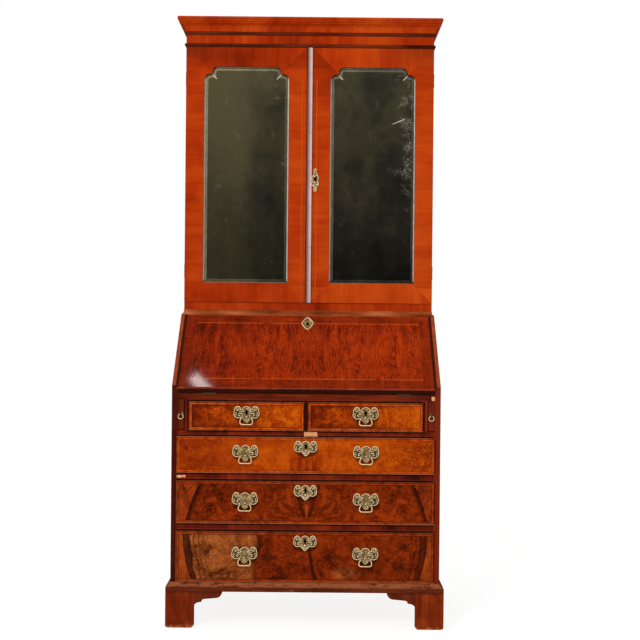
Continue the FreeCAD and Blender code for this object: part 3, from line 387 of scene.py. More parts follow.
class DressCarcass(bpy.types.Operator):
    """Finishes the bureau's carcass, rails, mouldings and feet"""
    bl_idname = "bureau.dress_carcass"
    bl_label = "Carcass"

    def execute(self, context):
        w = woods()
        dress(self.side_finish(w), "bureau_sides", "bureau_top", "writing_bed")
        dress(self.rail_finish(w), "drawer_rails", "drawer_dividers", "loper_left", "loper_right")
        dress(self.foot_finish(w), "bracket_feet")
        dress(self.base_finish(w), "base_moulding")
        dress(self.waist_finish(), "waist_moulding")
        dress(self.oak_finish(w, "bare_oak", "bookcase_shelves", 3), "bureau_bottom", "bookcase_shelves",
              "bookcase_ends", *(name + "_box" for name in DRAWERS))
        for node, planks in (("bureau_backboards", 4), ("bookcase_backboards", 5)):
            dress(self.oak_finish(w, node + "_oak", node, planks), node)
        return {"FINISHED"}

    def side_finish(self, w):
        """Upright boards, dark crossgrain on the front edges and orange veneer on the sloping edges."""
        f = Finish("carcass_walnut")
        ny, nz = f.facing()[1:]
        front = f.fade(ny, -0.85, -0.95)
        soft, pores = streaks(f, f.z, f.y, f.x, 2.1)
        flame = f.noise(f.vector(f.y * 3.0, f.z * 0.8, f.x * 0.2), 7.0, detail=4.0, distortion=1.2)
        tone = soft * 0.6 + flame * 0.4
        f.colour = f.ramp(tone, (0.28, w.carcass_dark), (0.5, screen(96, 30, 9)), (0.75, w.fall_light))
        f.lay(w.carcass_dark, f.fade(pores, 0.42, 0.30) * 0.6)
        cross, ticks = streaks(f, f.x, f.z, f.y, 4.6)
        f.lay(self.front_edge(f, w, cross), front)
        band = f.ramp(soft * 0.7 + pores * 0.3, (0.25, screen(112, 38, 12)), (0.7, screen(166, 78, 40)))
        rub = f.noise(f.place, 60.0, detail=4.0, roughness=0.7)
        band = f.mix(band, w.bare, f.fade(rub, 0.66, 0.74) * 0.5)
        f.lay(band, f.fade(ny * nz, -0.3, -0.42))
        lost = lost_veneer(f) * front
        f.lay(bare_wood(f, cross, ticks), lost)
        return f.surface(0.24 + soft * 0.16 + lost * 0.4, pores)

    def front_edge(self, f, w, cross):
        """Crossgrain of the front edges, lighter on the right side board and darker on the left one."""
        reach = Box("bureau_sides").half.x
        inner, outer = reach - 0.03, reach - 0.015
        chance, joint = pieces(f, f.z, 0.07, 1.7)
        edge = f.ramp(cross * 0.6 + chance * 0.4, (0.25, w.carcass_dark), (0.8, screen(98, 30, 13)))
        edge = f.mix(edge, w.carcass_dark, joint * 0.8)
        bed = f.ramp(cross, (0.3, screen(62, 18, 6)), (0.5, screen(104, 31, 10)), (0.7, screen(140, 48, 16)))
        edge = f.mix(edge, bed, f.fade(abs(f.x + 0.02), reach - 0.02, reach - 0.15) * 0.9)
        edge = f.mix(edge, screen(138, 44, 17), f.fade(f.x, inner, outer) * 0.5)
        return f.mix(edge, w.carcass_dark, f.fade(f.x, -inner, -outer) * 0.35)

    def rail_finish(self, w):
        """Short crossgrain pieces round the drawers and lopers, painted shade in the gaps round them and
        under the drawers, and bare wood where veneer is lost.
        """
        f = Finish("rail_walnut")
        soft, pores = streaks(f, f.z, f.x, f.y, 0.7)
        chance, joint = pieces(f, f.x, 0.085, 0.7)
        cloud = f.noise(f.vector(f.x, f.y, f.z * 0.3), 11.0, detail=3.0)
        tone = soft * 0.3 + chance * 0.14 + cloud * 0.5 + 0.03
        f.colour = f.ramp(tone, (0.34, w.carcass_dark), (0.5, screen(98, 25, 7)), (0.68, screen(134, 42, 12)))
        f.lay(w.carcass_dark, joint * 0.25)
        self.loper_fronts(f, w, soft)
        self.drawer_gaps(f)
        lost = lost_veneer(f)
        f.lay(bare_wood(f, soft, pores), lost)
        return f.surface(0.24 + pores * 0.16 + lost * 0.4, pores - lost * 1.2)

    def loper_fronts(self, f, w, soft):
        """The lopers' own grain inside painted shade in the gaps round them, with a lighter divider beside
        the right one.
        """
        right = Box("loper_right").low
        near = f.fade(f.x, right.x - 0.034, right.x - 0.019)
        above = f.fade(f.z, right.z - 0.0063, right.z + 0.0037)
        f.lay(screen(148, 44, 16), near * above * 0.5)
        front = f.ramp(soft, (0.3, screen(62, 18, 7)), (0.7, screen(118, 40, 16)))
        for name, dull in (("loper_left", 0.45), ("loper_right", 0.0)):
            beyond = self.beyond(f, name)
            f.lay(f.mix(front, w.carcass_dark, dull), f.fade(beyond, 0.0, -0.0005))
            # Painted shade in the narrow gap round each loper
            f.lay(GAP_PAINTED_SHADE, f.line(beyond, 0.001, 0.0012, 0.001) * 0.95)

    def drawer_gaps(self, f):
        """Painted shade in the gaps round the drawers and a painted shadow under each, with a pale line on
        the rail just above each drawer.
        """
        for name in DRAWERS:
            box = Box(name + "_front")
            across = f.fade(abs(f.x - box.middle.x), box.half.x + 0.001, box.half.x)
            f.lay(screen(118, 56, 38), f.line(f.z, box.high.z + 0.0065, 0.0008, 0.001) * across * 0.4)
            # Painted shadow under each drawer and painted shade in the gap round it
            shade = f.fade(box.low.z - f.z, 0.0065, 0.003) * f.fade(f.z, box.high.z, box.low.z) * across
            gap_shade = f.line(self.beyond(f, name + "_front"), 0.0015, 0.0016, 0.0022)
            f.lay(GAP_PAINTED_SHADE, f.most(gap_shade, shade) * 0.95)

    def beyond(self, f, node):
        """How far a point of the carcass front lies outside a node's outline."""
        box = Box(node)
        return f.most(abs(f.x - box.middle.x) - box.half.x, abs(f.z - box.middle.z) - box.half.z)

    def foot_finish(self, w):
        """Upright grain on the feet, darker wings, wear along the lower edges and painted shade along the
        top, under the base moulding.
        """
        f = Finish("foot_walnut")
        top = Box("bracket_feet").high.z
        soft, pores = streaks(f, f.z, f.x + f.y, f.y, 5.2, stretch=6.0)
        shade = f.noise(f.place, 14.0, detail=4.0, roughness=0.65)
        tone = soft * 0.55 + shade * 0.5
        f.colour = f.ramp(
            tone, (0.3, screen(66, 18, 3)), (0.52, screen(113, 36, 6)), (0.75, screen(150, 60, 18)))
        dark = f.ramp(tone, (0.3, screen(46, 14, 6)), (0.75, screen(112, 44, 20)))
        f.lay(dark, f.fade(abs(f.x), 0.371, 0.367) * 0.8)
        rub = f.noise(f.place, 70.0, detail=4.0, roughness=0.7)
        f.lay(w.wear_and_painted_light, f.fade(f.z, 0.014, 0.002) * f.fade(rub, 0.42, 0.6) * 0.8)
        # Painted shade along the top of the feet, under the base moulding
        f.lay(w.carcass_dark, f.fade(f.z, top - 0.009, top) * 0.6)
        return f.surface(0.34 + shade * 0.2, pores)

    def base_finish(self, w):
        """Rubbed tan slope over a dark face."""
        f = Finish("base_moulding_walnut")
        low = Box("base_moulding").low.z
        soft, pores = streaks(f, f.x + f.y, f.z, f.y, 3.3, stretch=6.0)
        chance, joint = pieces(f, f.x + f.y, 0.16, 3.3)
        rub = f.noise(f.vector(f.x * 0.35, f.y, f.z), 55.0, detail=5.0, roughness=0.72)
        middle = f.fade(abs(f.x - 0.02), 0.33, 0.12)
        slope = f.fade(f.z, low + 0.0135, low + 0.0155)
        wear = f.fade(rub + slope * 0.24 + middle * 0.04 + (chance - 0.5) * 0.1 - 0.08, 0.52, 0.68)
        f.colour = f.ramp(soft, (0.25, w.carcass_dark), (0.75, screen(108, 44, 20)))
        f.lay(f.ramp(pores, (0.3, screen(128, 66, 36)), (0.7, w.wear_and_painted_light)), wear * 0.85)
        f.lay(w.carcass_dark, joint * 0.25)
        return f.surface(0.4 + rub * 0.25, rub)

    def waist_finish(self):
        """Thin tan moulding with darker stretches."""
        f = Finish("waist_moulding_walnut")
        soft, pores = streaks(f, f.x + f.y, f.z, f.y, 6.3, stretch=8.0)
        stretch = f.noise(f.vector(f.x, 0.3, 0.7), 7.0, detail=2.0)
        tone = soft * 0.6 + stretch * 0.45
        f.colour = f.ramp(
            tone, (0.36, screen(96, 38, 14)), (0.52, screen(152, 72, 36)), (0.72, screen(196, 116, 72)))
        return f.surface(0.36 + soft * 0.2, pores)

    def oak_finish(self, w, name, node, planks):
        """Dry oak with dust in its pores, in planks across a node's width."""
        f = Finish(name)
        box = Box(node)
        step = (f.x - box.low.x) * (planks / (2 * box.half.x))
        chance = f.node("ShaderNodeTexWhiteNoise", {"noise_dimensions": "1D"}, {"W": f.math("FLOOR", step)})
        joint = f.fade(f.math("PINGPONG", step, 0.5), 0.009, 0.003)
        soft, pores = streaks(f, f.z, f.x, f.y, 8.8, stretch=14.0, fine=90.0)
        dust = f.noise(f.place, 3.0, detail=4.0)
        f.colour = f.ramp(soft * 0.6 + dust * 0.3 + chance * 0.2, (0.3, dimmed(w.oak, 0.36)), (0.8, w.oak))
        f.lay(dimmed(w.oak, 0.2), f.fade(pores, 0.38, 0.28) * 0.7)
        f.lay(dimmed(w.oak, 0.08), joint * 0.9)
        return f.surface(0.7 + pores * 0.15, pores, specular=0.2)


class DressBookcase(bpy.types.Operator):
    """Finishes the bookcase's sides, rails, beads and cornice"""
    bl_idname = "bureau.dress_bookcase"
    bl_label = "Bookcase"

    def execute(self, context):
        w = woods()
        dress(self.front_finish(w), "bookcase_front_rails", "cornice_moulding")
        dress(self.bead_finish(w), "frieze_beads")
        dress(self.side_finish(w), "bookcase_sides")
        return {"FINISHED"}

    def front_finish(self, w):
        """Crossgrain in short pieces with nicks, lighter on the cornice and with a dark line near its top."""
        f = Finish("bookcase_walnut")
        cornice = Box("cornice_moulding")
        soft, pores = streaks(f, f.z, f.x + f.y, f.y, 1.3)
        chance, joint = pieces(f, f.x + f.y, 0.11, 1.3)
        cloud = f.noise(f.place, 6.0, detail=3.0)
        high = f.fade(f.z, cornice.low.z - 0.0121, cornice.low.z + 0.0029)
        tone = soft * 0.36 + chance * 0.1 + cloud * 0.46 + 0.05 + high * 0.06
        f.colour = f.ramp(tone, (0.3, w.door_dark), (0.52, w.door_mid), (0.78, w.door_light))
        f.lay(w.door_dark, f.fade(pores, 0.38, 0.28) * 0.4)
        f.lay(w.door_dark, joint * 0.25)
        nick = f.fade(f.noise(f.vector(f.x * 0.3, f.y, f.z), 190.0, detail=2.0), 0.73, 0.77)
        f.lay(w.carcass_dark, nick * 0.7)
        f.lay(w.door_dark, f.line(f.z, cornice.high.z - 0.009, 0.0012, 0.0016) * 0.6)
        return f.surface(0.26 + pores * 0.16, pores)

    def bead_finish(self, w):
        """Dark beads along the frieze."""
        f = Finish("bead_walnut")
        soft, pores = streaks(f, f.x + f.y, f.z, f.y, 4.4)
        f.colour = f.ramp(soft, (0.3, w.carcass_dark), (0.8, screen(112, 46, 22)))
        return f.surface(0.3 + soft * 0.2, pores)

    def side_finish(self, w):
        """Upright boards with a flame figure."""
        f = Finish("bookcase_side_walnut")
        soft, pores = streaks(f, f.z, f.y, f.x, 6.1)
        flame = f.noise(f.vector(f.y * 3.0, f.z * 0.7, f.x * 0.2), 6.0, detail=4.0, distortion=1.2)
        tone = soft * 0.55 + flame * 0.45
        f.colour = f.ramp(tone, (0.28, w.door_dark), (0.5, w.door_mid), (0.78, w.door_light))
        f.lay(w.fall_dark, f.fade(pores, 0.4, 0.28) * 0.5)
        return f.surface(0.28 + soft * 0.14, pores)


class DressDoors(bpy.types.Operator):
    """Finishes the doors, their mirrors and the meeting strip"""
    bl_idname = "bureau.dress_doors"
    bl_label = "Doors"

    def execute(self, context):
        for hand in HANDS:
            dress(self.door_finish(hand), "door_%s_frame" % hand)
            dress(self.mirror_finish(hand), "door_%s_mirror" % hand)
        dress(self.strip_finish(), "door_meeting_strip")
        return {"FINISHED"}

    def door_finish(self, hand):
        """Crossgrain on rails and stiles that meet in mitres, lighter to the right and below the top, with
        painted shade on the walls of the mirror opening and beside the meeting strip.
        """
        w = woods()
        box = Box("door_%s_frame" % hand)
        seed = {"left": 3.0, "right": 5.0}[hand]
        f = Finish("door_veneer_" + hand)
        dx = box.half.x - abs(f.x - box.middle.x)
        dz = box.half.z - abs(f.z - box.middle.z)
        top = box.high.z - f.z
        meeting = box.high.x - f.x if hand == "left" else f.x - box.low.x
        stile = f.fade(dz - dx, -0.0004, 0.0004)
        rails = (*streaks(f, f.z, f.x, f.y, seed), *pieces(f, f.x, 0.06, seed))
        stiles = (*streaks(f, f.x, f.z, f.y, seed + 1.0), *pieces(f, f.z, 0.13, seed + 0.5))
        soft, pores, chance, joint = (one + (other - one) * stile for one, other in zip(rails, stiles))
        cloud = f.noise(f.place, 7.0, detail=3.0)
        lift = f.fade(f.x, -0.45, 0.45) * 0.15 + f.fade(top, 0.02, 0.26) * 0.082
        tone = soft * 0.28 + chance * 0.15 + cloud * 0.44 + lift + 0.003
        f.colour = f.ramp(tone, (0.32, w.door_dark), (0.5, w.door_mid), (0.8, w.door_light))
        f.lay(w.door_dark, f.fade(pores, 0.4, 0.28) * 0.45)
        f.lay(w.door_dark, joint * 0.22)
        f.lay(w.door_dark, stile * f.fade(top, 0.085, 0.06) * f.fade(meeting, 0.1, 0.09) * 0.5)
        f.lay(screen(92, 30, 8), f.fade(top, 0.1, 0.0) * f.fade(meeting, 0.2, 0.38) * cloud * 0.9)
        mitre = f.line(dz - dx, 0.0, 0.0006, 0.0008) * f.fade(top, 0.085, 0.07)
        f.lay(w.fall_dark, mitre * f.fade(meeting, 0.12, 0.1) * 0.6)
        self.edge_strip(f, w, top, meeting)
        rub = f.noise(f.place, 90.0, detail=4.0, roughness=0.7)
        f.lay(w.wear_and_painted_light, f.fade(rub, 0.72, 0.78) * f.fade(dx, 0.012, 0.0) * 0.7)
        # Painted shade: near-black on the walls of the mirror opening and in a line beside the meeting strip
        wall = f.fade(f.facing()[1], -0.8, -0.6) * f.fade(f.least(dx, dz), 0.05, 0.055)
        beside_strip = Box("door_meeting_strip").half.x + 0.0013
        shade = f.most(wall, f.line(abs(f.x), beside_strip, 0.0012, 0.001) * 0.85)
        f.lay(screen(24, 8, 4), shade * 0.95)
        return f.surface(0.26 + pores * 0.14, pores)

    def edge_strip(self, f, w, top, meeting):
        """A light strip with a dark line along the meeting stile, up to its mitre."""
        lower = f.fade(top, 0.108, 0.118)
        f.lay(w.door_light, f.line(meeting, 0.0158, 0.0012, 0.0014) * lower * 0.75)
        f.lay(w.door_dark, f.line(meeting, 0.0128, 0.0004, 0.0008) * lower * 0.6)

    def mirror_finish(self, hand):
        """Old silvering in olive clouds that are partly decay and partly a painted reflection of the room,
        with pale decay and painted highlights on its edges and bevels.
        """
        m = metals()
        box = Box("door_%s_mirror" % hand)
        light, lean, clear = {"left": (0.09, 0.4, 0.26), "right": (-0.04, 0.5, 0.0)}[hand]
        f = Finish("old_mirror_" + hand)
        u = f.x - box.middle.x
        up = (f.z - box.low.z) / (2 * box.half.z)
        cloud = f.noise(f.vector(f.x, f.y, f.z * 0.55), 7.0, detail=4.0, roughness=0.55)
        mist = f.noise(f.place, 30.0, detail=4.0, roughness=0.6) - 0.5
        # The clouds and the gradients across and up the plate are partly old decay and partly a painted
        # reflection of the room
        tone = up * 0.25 + cloud * 0.9 - u * lean + f.fade(u, 0.05, -0.03) * clear + light + mist * 0.35
        f.colour = f.ramp(tone, (0.2, dimmed(m.decay, 0.34)), (0.5, m.decay), (1.0, m.silvering))
        fog = f.noise(f.place, 26.0, detail=6.0, roughness=0.7)
        decay_and_glint_mask = f.most(self.bloom(f, box, u, up, fog, hand), self.bevels(f, box, u, up, fog))
        decay_and_glint_mask = f.most(decay_and_glint_mask, self.corner_mitres(f, box, u))
        if hand == "right":
            decay_and_glint_mask = f.most(decay_and_glint_mask, self.scratch(f, box, u) * fog)
        # Lays the pale decay, pinholes and scratch together with the painted highlights of the edges, bevels
        # and mitres
        f.lay(m.pale_decay_and_glint, decay_and_glint_mask)
        return f.surface(0.035 + fog * 0.05 + decay_and_glint_mask * 0.4, metallic=1.0 - decay_and_glint_mask * 0.9)

    def bloom(self, f, box, u, up, fog, hand):
        """Pale decay that spreads from the right edge, farther on the right door, and pinholes."""
        reach = {"left": 0.03, "right": 0.15}[hand]
        specks = f.fade(f.noise(f.place, 330.0, detail=3.0, roughness=0.7), 0.52, 0.64)
        shore = f.fade(u, box.half.x - 0.085, box.half.x - 0.03) * f.fade(up, 0.3, 0.5)
        pale = f.fade(fog + shore * reach, 0.58, 0.74) * (0.06 + specks * 0.8) * (0.35 + shore * 0.65)
        pinholes = f.fade(f.spots(f.place, 70.0), 0.07, 0.035) * f.fade(fog, 0.5, 0.62)
        return f.most(pale * 0.7, pinholes * 0.5)

    def bevels(self, f, box, u, up, fog):
        """Painted highlights: a pale line along the plate's edges and painted light on each of its bevels."""
        beside = box.half.x - abs(u)
        rim = f.fade(beside, 0.0088, 0.0072) * f.fade(up, 0.962, 0.945) * f.fade(up, 0.005, 0.02)
        edge = f.least(beside, f.least(f.z - box.low.z, box.high.z - f.z))
        hem = f.most(rim, f.fade(edge, 0.0072, 0.0052) * 0.5) * (0.5 + fog * 0.8)
        nx, _, nz = f.facing()
        bevel = 0.0
        for slant, light in ((-1.0 * nx, 0.18), (nx, 0.09), (nz, 0.16), (-1.0 * nz, 0.07)):
            bevel = f.most(f.fade(slant, 0.008, 0.02) * light, bevel)
        return f.most(hem, bevel * (0.5 + fog))

    def corner_mitres(self, f, box, u):
        """Painted highlights: bright lines where the bevels of the upper corners meet."""
        drop = box.high.z - 0.0275 - f.z
        slant = abs(u) - (box.half.x - 0.0305) + drop * 0.9
        ends = f.fade(drop, -0.004, -0.002) * f.fade(drop, 0.021, 0.016)
        return f.line(slant, 0.0, 0.0011, 0.0009) * ends * 0.95

    def scratch(self, f, box, u):
        """A slanting scratch high on a plate, towards its right edge."""
        across = u - 0.093
        fall = f.z - (box.high.z - 0.194) - across * 0.42
        return f.line(fall, 0.0, 0.0012, 0.0016) * f.fade(abs(across), 0.028, 0.016)

    def strip_finish(self):
        """Half-round cover strip, pale partly from fading and partly from a painted reflection, dark on its
        left side and bright on its right.
        """
        f = Finish("strip_walnut")
        box = Box("door_meeting_strip")
        soft, pores = streaks(f, f.z, f.x, f.y, 9.2)
        across = (f.x - box.low.x) / (2 * box.half.x)
        stretch = f.noise(f.vector(0.2, 0.4, f.z), 9.0, detail=2.0)
        # Painted reflection: the strip grows lighter from its left side to its right
        tone = soft * 0.25 + across * 0.75 + stretch * 0.2
        f.colour = f.ramp(
            tone, (0.2, screen(108, 70, 64)), (0.55, woods().faded_and_painted_sheen), (0.95, screen(232, 206, 202)))
        f.lay(screen(120, 76, 62), pieces(f, f.z, 0.12, 4.1)[1] * 0.25)
        # Painted shade on the strip's left side
        f.lay(screen(112, 74, 68), f.fade(across, 0.4, 0.2) * 0.8)
        return f.surface(0.2 + soft * 0.1, pores, specular=0.5)


class DressFall(bpy.types.Operator):
    """Finishes the book-matched fall with its inlaid line"""
    bl_idname = "bureau.dress_fall"
    bl_label = "Fall"

    def execute(self, context):
        w = woods()
        box = Box("fall_board")
        f = Finish("fall_veneer")
        up = (f.z - box.low.z) * math.sqrt(2.0)
        threads, cloud = self.figure(f, w, up)
        self.border(f, w, box, up, cloud)
        # Painted shade behind the keyhole
        f.lay(KEYHOLE_PAINTED_SHADE, keyhole_dark(f, keyholes("fall_brasses", slope()), 0.009))
        scuff = f.noise(f.vector(f.x * 0.4, f.y, f.z), 120.0, detail=4.0, roughness=0.7)
        dress(f.surface(0.03 + scuff * 0.06, threads, depth=0.00008, specular=0.5), "fall_board")
        return {"FINISHED"}

    def figure(self, f, w, up):
        """Flame that is matched at the middle, with threads, flecks and curling lines."""
        u = abs(f.x - 0.004)
        bend = f.noise(f.vector(u * 3.0, up * 1.4, 1.5), 3.0, detail=2.0) - 0.5
        leaf = u + bend * 0.07
        flame = f.noise(f.vector(leaf * 34.0, up * 5.0, 2.0), 1.0, detail=5.0, roughness=0.62, distortion=0.7)
        threads = f.noise(f.vector(leaf * 210.0, up * 11.0, 4.0), 1.0, detail=3.0, roughness=0.6)
        cloud = f.noise(f.vector(u, up, 5.5), 9.0, detail=3.0)
        flecks = f.noise(
            f.vector(leaf * 105.0, up * 42.0, 7.0), 1.0, detail=4.0, roughness=0.65, distortion=1.4)
        tone = flame * 0.36 + threads * 0.16 + cloud * 0.28 + flecks * 0.2 - 0.07
        tone = tone + f.fade(f.x, -0.44, -0.05) * 0.09 + f.fade(f.x, 0.0, 0.4) * 0.02
        f.colour = f.ramp(tone, (0.36, w.fall_dark), (0.49, w.fall_mid), (0.64, w.fall_light))
        f.lay(w.fall_dark, f.fade(threads, 0.44, 0.34) * 0.6)
        f.lay(w.fall_dark, f.fade(flecks, 0.46, 0.37) * 0.35)
        lines = burr(f, u, up, 3.7, 0.05)[2]
        f.lay(w.fall_dark, lines * f.fade(cloud, 0.6, 0.42) * 0.5)
        rings = hairs(f, leaf, up * 0.4, 2.6, 0.06)
        f.lay(screen(58, 10, 1), rings * (0.25 + f.fade(flame, 0.62, 0.4) * 0.4))
        return threads, cloud

    def border(self, f, w, box, up, cloud):
        """Crossgrain frieze, broken inlaid line, painted shade on the lips and a pale broken line along the
        lower edge, partly wear and partly painted highlight.
        """
        dx = box.half.x - abs(f.x)
        low = f.z - box.low.z
        level = f.least(low - 0.0495, box.high.z - f.z - 0.026)
        inlay = f.least(dx - 0.046, level)
        grain = streaks(f, f.x, up, f.y, 6.6, stretch=5.0)[0]
        tone = grain * 0.7 + cloud * 0.3
        frieze = f.ramp(tone, (0.3, w.fall_dark), (0.55, screen(120, 34, 5)), (0.8, w.fall_light))
        f.lay(frieze, f.fade(inlay, 0.0, -0.0006) * 0.55)
        broken = f.fade(f.noise(f.place, 16.0, detail=2.0), 0.3, 0.42)
        string = f.line(inlay, 0.0, 0.0008, 0.0009) * broken
        f.lay(w.stringing, string * (0.12 + f.fade(level, 0.004, 0.001) * 0.42))
        # Painted shade: near-black on the lips along the sides and the lower edge
        lip = f.most(f.fade(dx, 0.0105, 0.0085) * 0.85, f.fade(low, 0.0175, 0.0155))
        f.lay(screen(34, 12, 6), lip * 0.95)
        # A pale broken line at the top of the lower lip, partly wear and partly painted highlight
        rub_and_highlight = f.fade(f.noise(f.place, 45.0, detail=3.0), 0.52, 0.66)
        f.lay(w.wear_and_painted_light, f.line(low, 0.0185, 0.0006, 0.0008) * rub_and_highlight * 0.6)


# A drawer's border: crossband and lip, each dark and light, then the shares of the pale line along its lower
# and upper edges, partly wear and partly painted highlight, and how strong the dark line inside the band is
DARK_BORDER = ((110, 31, 2), (160, 58, 9), (60, 17, 5), (96, 32, 12), (0.95, 0.2), 0.75)
BORDERS = {
    "half": ((150, 44, 3), (200, 80, 12), (52, 16, 6), (86, 32, 13), (0.8, 0.4), 0.75),
    "upper": ((142, 42, 2), (188, 74, 9), (72, 20, 5), (108, 38, 12), (0.95, 0.6), 0.4),
    "middle": DARK_BORDER,
    "lower": DARK_BORDER,
}

# Knots of the lower drawer: place across and up from its middle, and reach
KNOTS = (
    (-0.333, 0.015, 0.036), (-0.123, -0.003, 0.05), (0.077, 0.0, 0.045), (0.33, 0.04, 0.036),
    (0.322, -0.03, 0.034),
)


class DressDrawers(bpy.types.Operator):
    """Finishes each drawer front with its burr and crossbanding"""
    bl_idname = "bureau.dress_drawers"
    bl_label = "Drawer fronts"

    def execute(self, context):
        figures = {"half": self.half_figure, "upper": self.upper_figure, "middle": self.middle_figure,
                   "lower": self.lower_figure}
        for seed, name in enumerate(DRAWERS):
            kind = name.split("_")[0]
            box = Box(name + "_front")
            f = Finish(name + "_veneer")
            u = f.x - box.middle.x
            v = f.z - box.middle.z
            cloud = figures[kind](f, u, v, box, 2.3 * seed + 1.1)
            self.border(f, u, v, box, BORDERS[kind])
            self.plate_shadows(f, name + "_brasses")
            # Painted shade behind the keyhole
            f.lay(KEYHOLE_PAINTED_SHADE, keyhole_dark(f, keyholes(name + "_brasses", FORWARD), 0.009))
            pores = streaks(f, f.x, f.z, f.y, seed + 0.4)[1]
            dress(f.surface(0.22 + cloud * 0.14, pores, depth=0.0002), name + "_front")
        return {"FINISHED"}

    def border(self, f, u, v, box, tones):
        """Dark lip with pale edges that are partly wear and partly painted highlight, narrow orange crossband
        and the dark line inside it.
        """
        w = woods()
        band_dark, band_light, lip_dark, lip_light, rub_and_highlight_shares, line = tones
        soft = f.noise(f.place, 46.0, detail=4.0, roughness=0.65)
        edge = f.least(box.half.x - abs(u), box.half.z - abs(v))
        f.lay(w.black, f.fade(edge, 0.0137, 0.0106) * line)
        band = f.ramp(soft, (0.36, screen(*band_dark)), (0.64, screen(*band_light)))
        f.lay(band, f.fade(edge, 0.0106, 0.0094) * 0.95)
        lip = f.ramp(soft, (0.36, screen(*lip_dark)), (0.64, screen(*lip_light)))
        f.lay(lip, f.fade(edge, 0.0052, 0.0044))
        # Pale line along the lower, upper and left edges of the lip: partly wear, partly painted highlight
        below = f.fade(v + box.half.z, 0.0037, 0.0027) * rub_and_highlight_shares[0]
        above = f.fade(box.half.z - v, 0.0031, 0.0023) * rub_and_highlight_shares[1]
        rub_and_highlight = f.most(f.most(below, above), f.fade(u + box.half.x, 0.0034, 0.0026) * 0.3)
        f.lay(w.wear_and_painted_light, rub_and_highlight * (0.5 + f.fade(soft, 0.34, 0.5) * 0.5))

    def plate_shadows(self, f, node):
        """Old polish and shade round each plate, a little below it and to its right."""
        for low, high in wide_plates(node):
            middle, half = (low + high) / 2, (high - low) / 2
            across = (f.x - (middle.x + 0.002)) / half.x
            along = (f.z - (middle.z - 0.004)) / half.z
            f.lay(woods().black, f.fade(f.span(across, along), 1.15, 0.9) * 0.75)

    def half_figure(self, f, u, v, box, seed):
        """Golden burr, shaded to dark at its borders and towards the left."""
        w = woods()
        cloud, mottle, lines, pips = burr(f, u, v, seed, 0.03)
        across = u / box.half.x
        lift = 0.03 if box.middle.x < 0 else 0.055
        tone = cloud * 0.55 + mottle * 0.38 + across * 0.08 + lift
        f.colour = f.ramp(tone, (0.36, screen(98, 25, 2)), (0.5, w.amber), (0.64, w.gold))
        f.lay(screen(92, 24, 2), lines * 0.45)
        f.lay(screen(96, 28, 1), hairs(f, u, v, seed, 0.034) * f.fade(mottle, 0.6, 0.4) * 0.45)
        edge = f.least(box.half.x - abs(u), box.half.z - abs(v))
        shade = f.fade(edge + (cloud - 0.5) * 0.03, 0.034, 0.012)
        f.lay(screen(82, 20, 2), shade * f.fade(across, 1.2, -0.7) * 0.8)
        f.lay(w.black, pips * 0.5)
        return cloud

    def upper_figure(self, f, u, v, box, seed):
        """Even golden orange, streaked along, redder at the middle and the ends, with one knot."""
        w = woods()
        cloud, mottle, lines, pips = burr(f, u, v, seed, 0.045)
        grain = streaks(f, u, v, f.y, seed, stretch=7.0, fine=130.0)[0]
        ends = f.fade(abs(u - 0.03), 0.18, 0.42)
        flame = f.fade(f.noise(f.vector(u * 40.0, v * 9.0, seed), 1.0, detail=3.0, distortion=1.0), 0.45, 0.6)
        middle = f.fade(abs(u), 0.085, 0.01) * f.fade(v, 0.02, -0.03)
        tone = cloud * 0.36 + grain * 0.26 + mottle * 0.3 + 0.1 - ends * 0.11 - middle * flame * 0.2
        f.colour = f.ramp(tone, (0.36, screen(112, 30, 2)), (0.53, w.amber), (0.7, w.gold))
        f.lay(screen(100, 28, 2), lines * (0.12 + ends * 0.45))
        f.lay(screen(96, 26, 1), hairs(f, u, v, seed, 0.05) * ends * 0.5)
        curls = hairs(f, u, v, seed + 5.0, 0.045) * f.fade(u, 0.08, 0.24)
        f.lay(screen(204, 102, 14), curls * f.fade(mottle, 0.4, 0.55) * 0.5)
        knot = f.fade(f.span(u + 0.399, (v - 0.021) * 0.8) + mottle * 0.006, 0.013, 0.006)
        f.lay(w.black, knot * 0.7)
        f.lay(w.black, pips * (0.3 + ends * 0.45))
        return cloud

    def middle_figure(self, f, u, v, box, seed):
        """Dark book-matched burr with a light wedge at the middle, between lighter corner pieces."""
        w = woods()
        leaf = abs(u - 0.004)
        cloud, mottle, lines, pips = burr(f, leaf, v, seed, 0.036)
        tone = cloud * 0.62 + mottle * 0.36 + f.fade(u, -0.3, -0.05) * 0.07 - f.fade(u, 0.1, 0.3) * 0.03
        f.colour = f.ramp(tone - 0.02, (0.36, screen(58, 14, 1)), (0.49, w.umber), (0.63, w.russet))
        f.lay(screen(160, 58, 9), hairs(f, leaf, v, seed, 0.034) * f.fade(mottle, 0.42, 0.6) * 0.5)
        f.lay(w.black, hairs(f, leaf, v, seed + 3.0, 0.03) * f.fade(cloud, 0.58, 0.42) * 0.5)
        f.lay(w.black, lines * 0.55)
        f.lay(w.black, pips * 0.7)
        vee = f.line(leaf - (v + 0.07) * 0.3 + (cloud - 0.5) * 0.03, 0.0, 0.003, 0.006)
        f.lay(w.black, vee * f.fade(v, -0.06, -0.04) * 0.7)
        wedge = f.fade((v + 0.058) * 0.16 - leaf, 0.0, 0.001) * f.fade(v, -0.002, -0.012)
        f.lay(screen(150, 56, 12), wedge * 0.9)
        rise = (box.half.z - v) / (2 * box.half.z)
        outside = leaf - 0.352 - rise * 0.054 - rise * (1 - rise) * 0.03
        soft = streaks(f, u * 0.8 + v, abs(u) - v * 0.4, f.y, seed)[0]
        corner = f.ramp(soft * 0.5 + mottle * 0.5, (0.36, screen(78, 22, 3)), (0.64, screen(156, 58, 14)))
        f.lay(corner, f.fade(outside, 0.0, 0.0012))
        slip = (leaf - 0.382) * 0.73 - (0.0535 - v) * 0.68
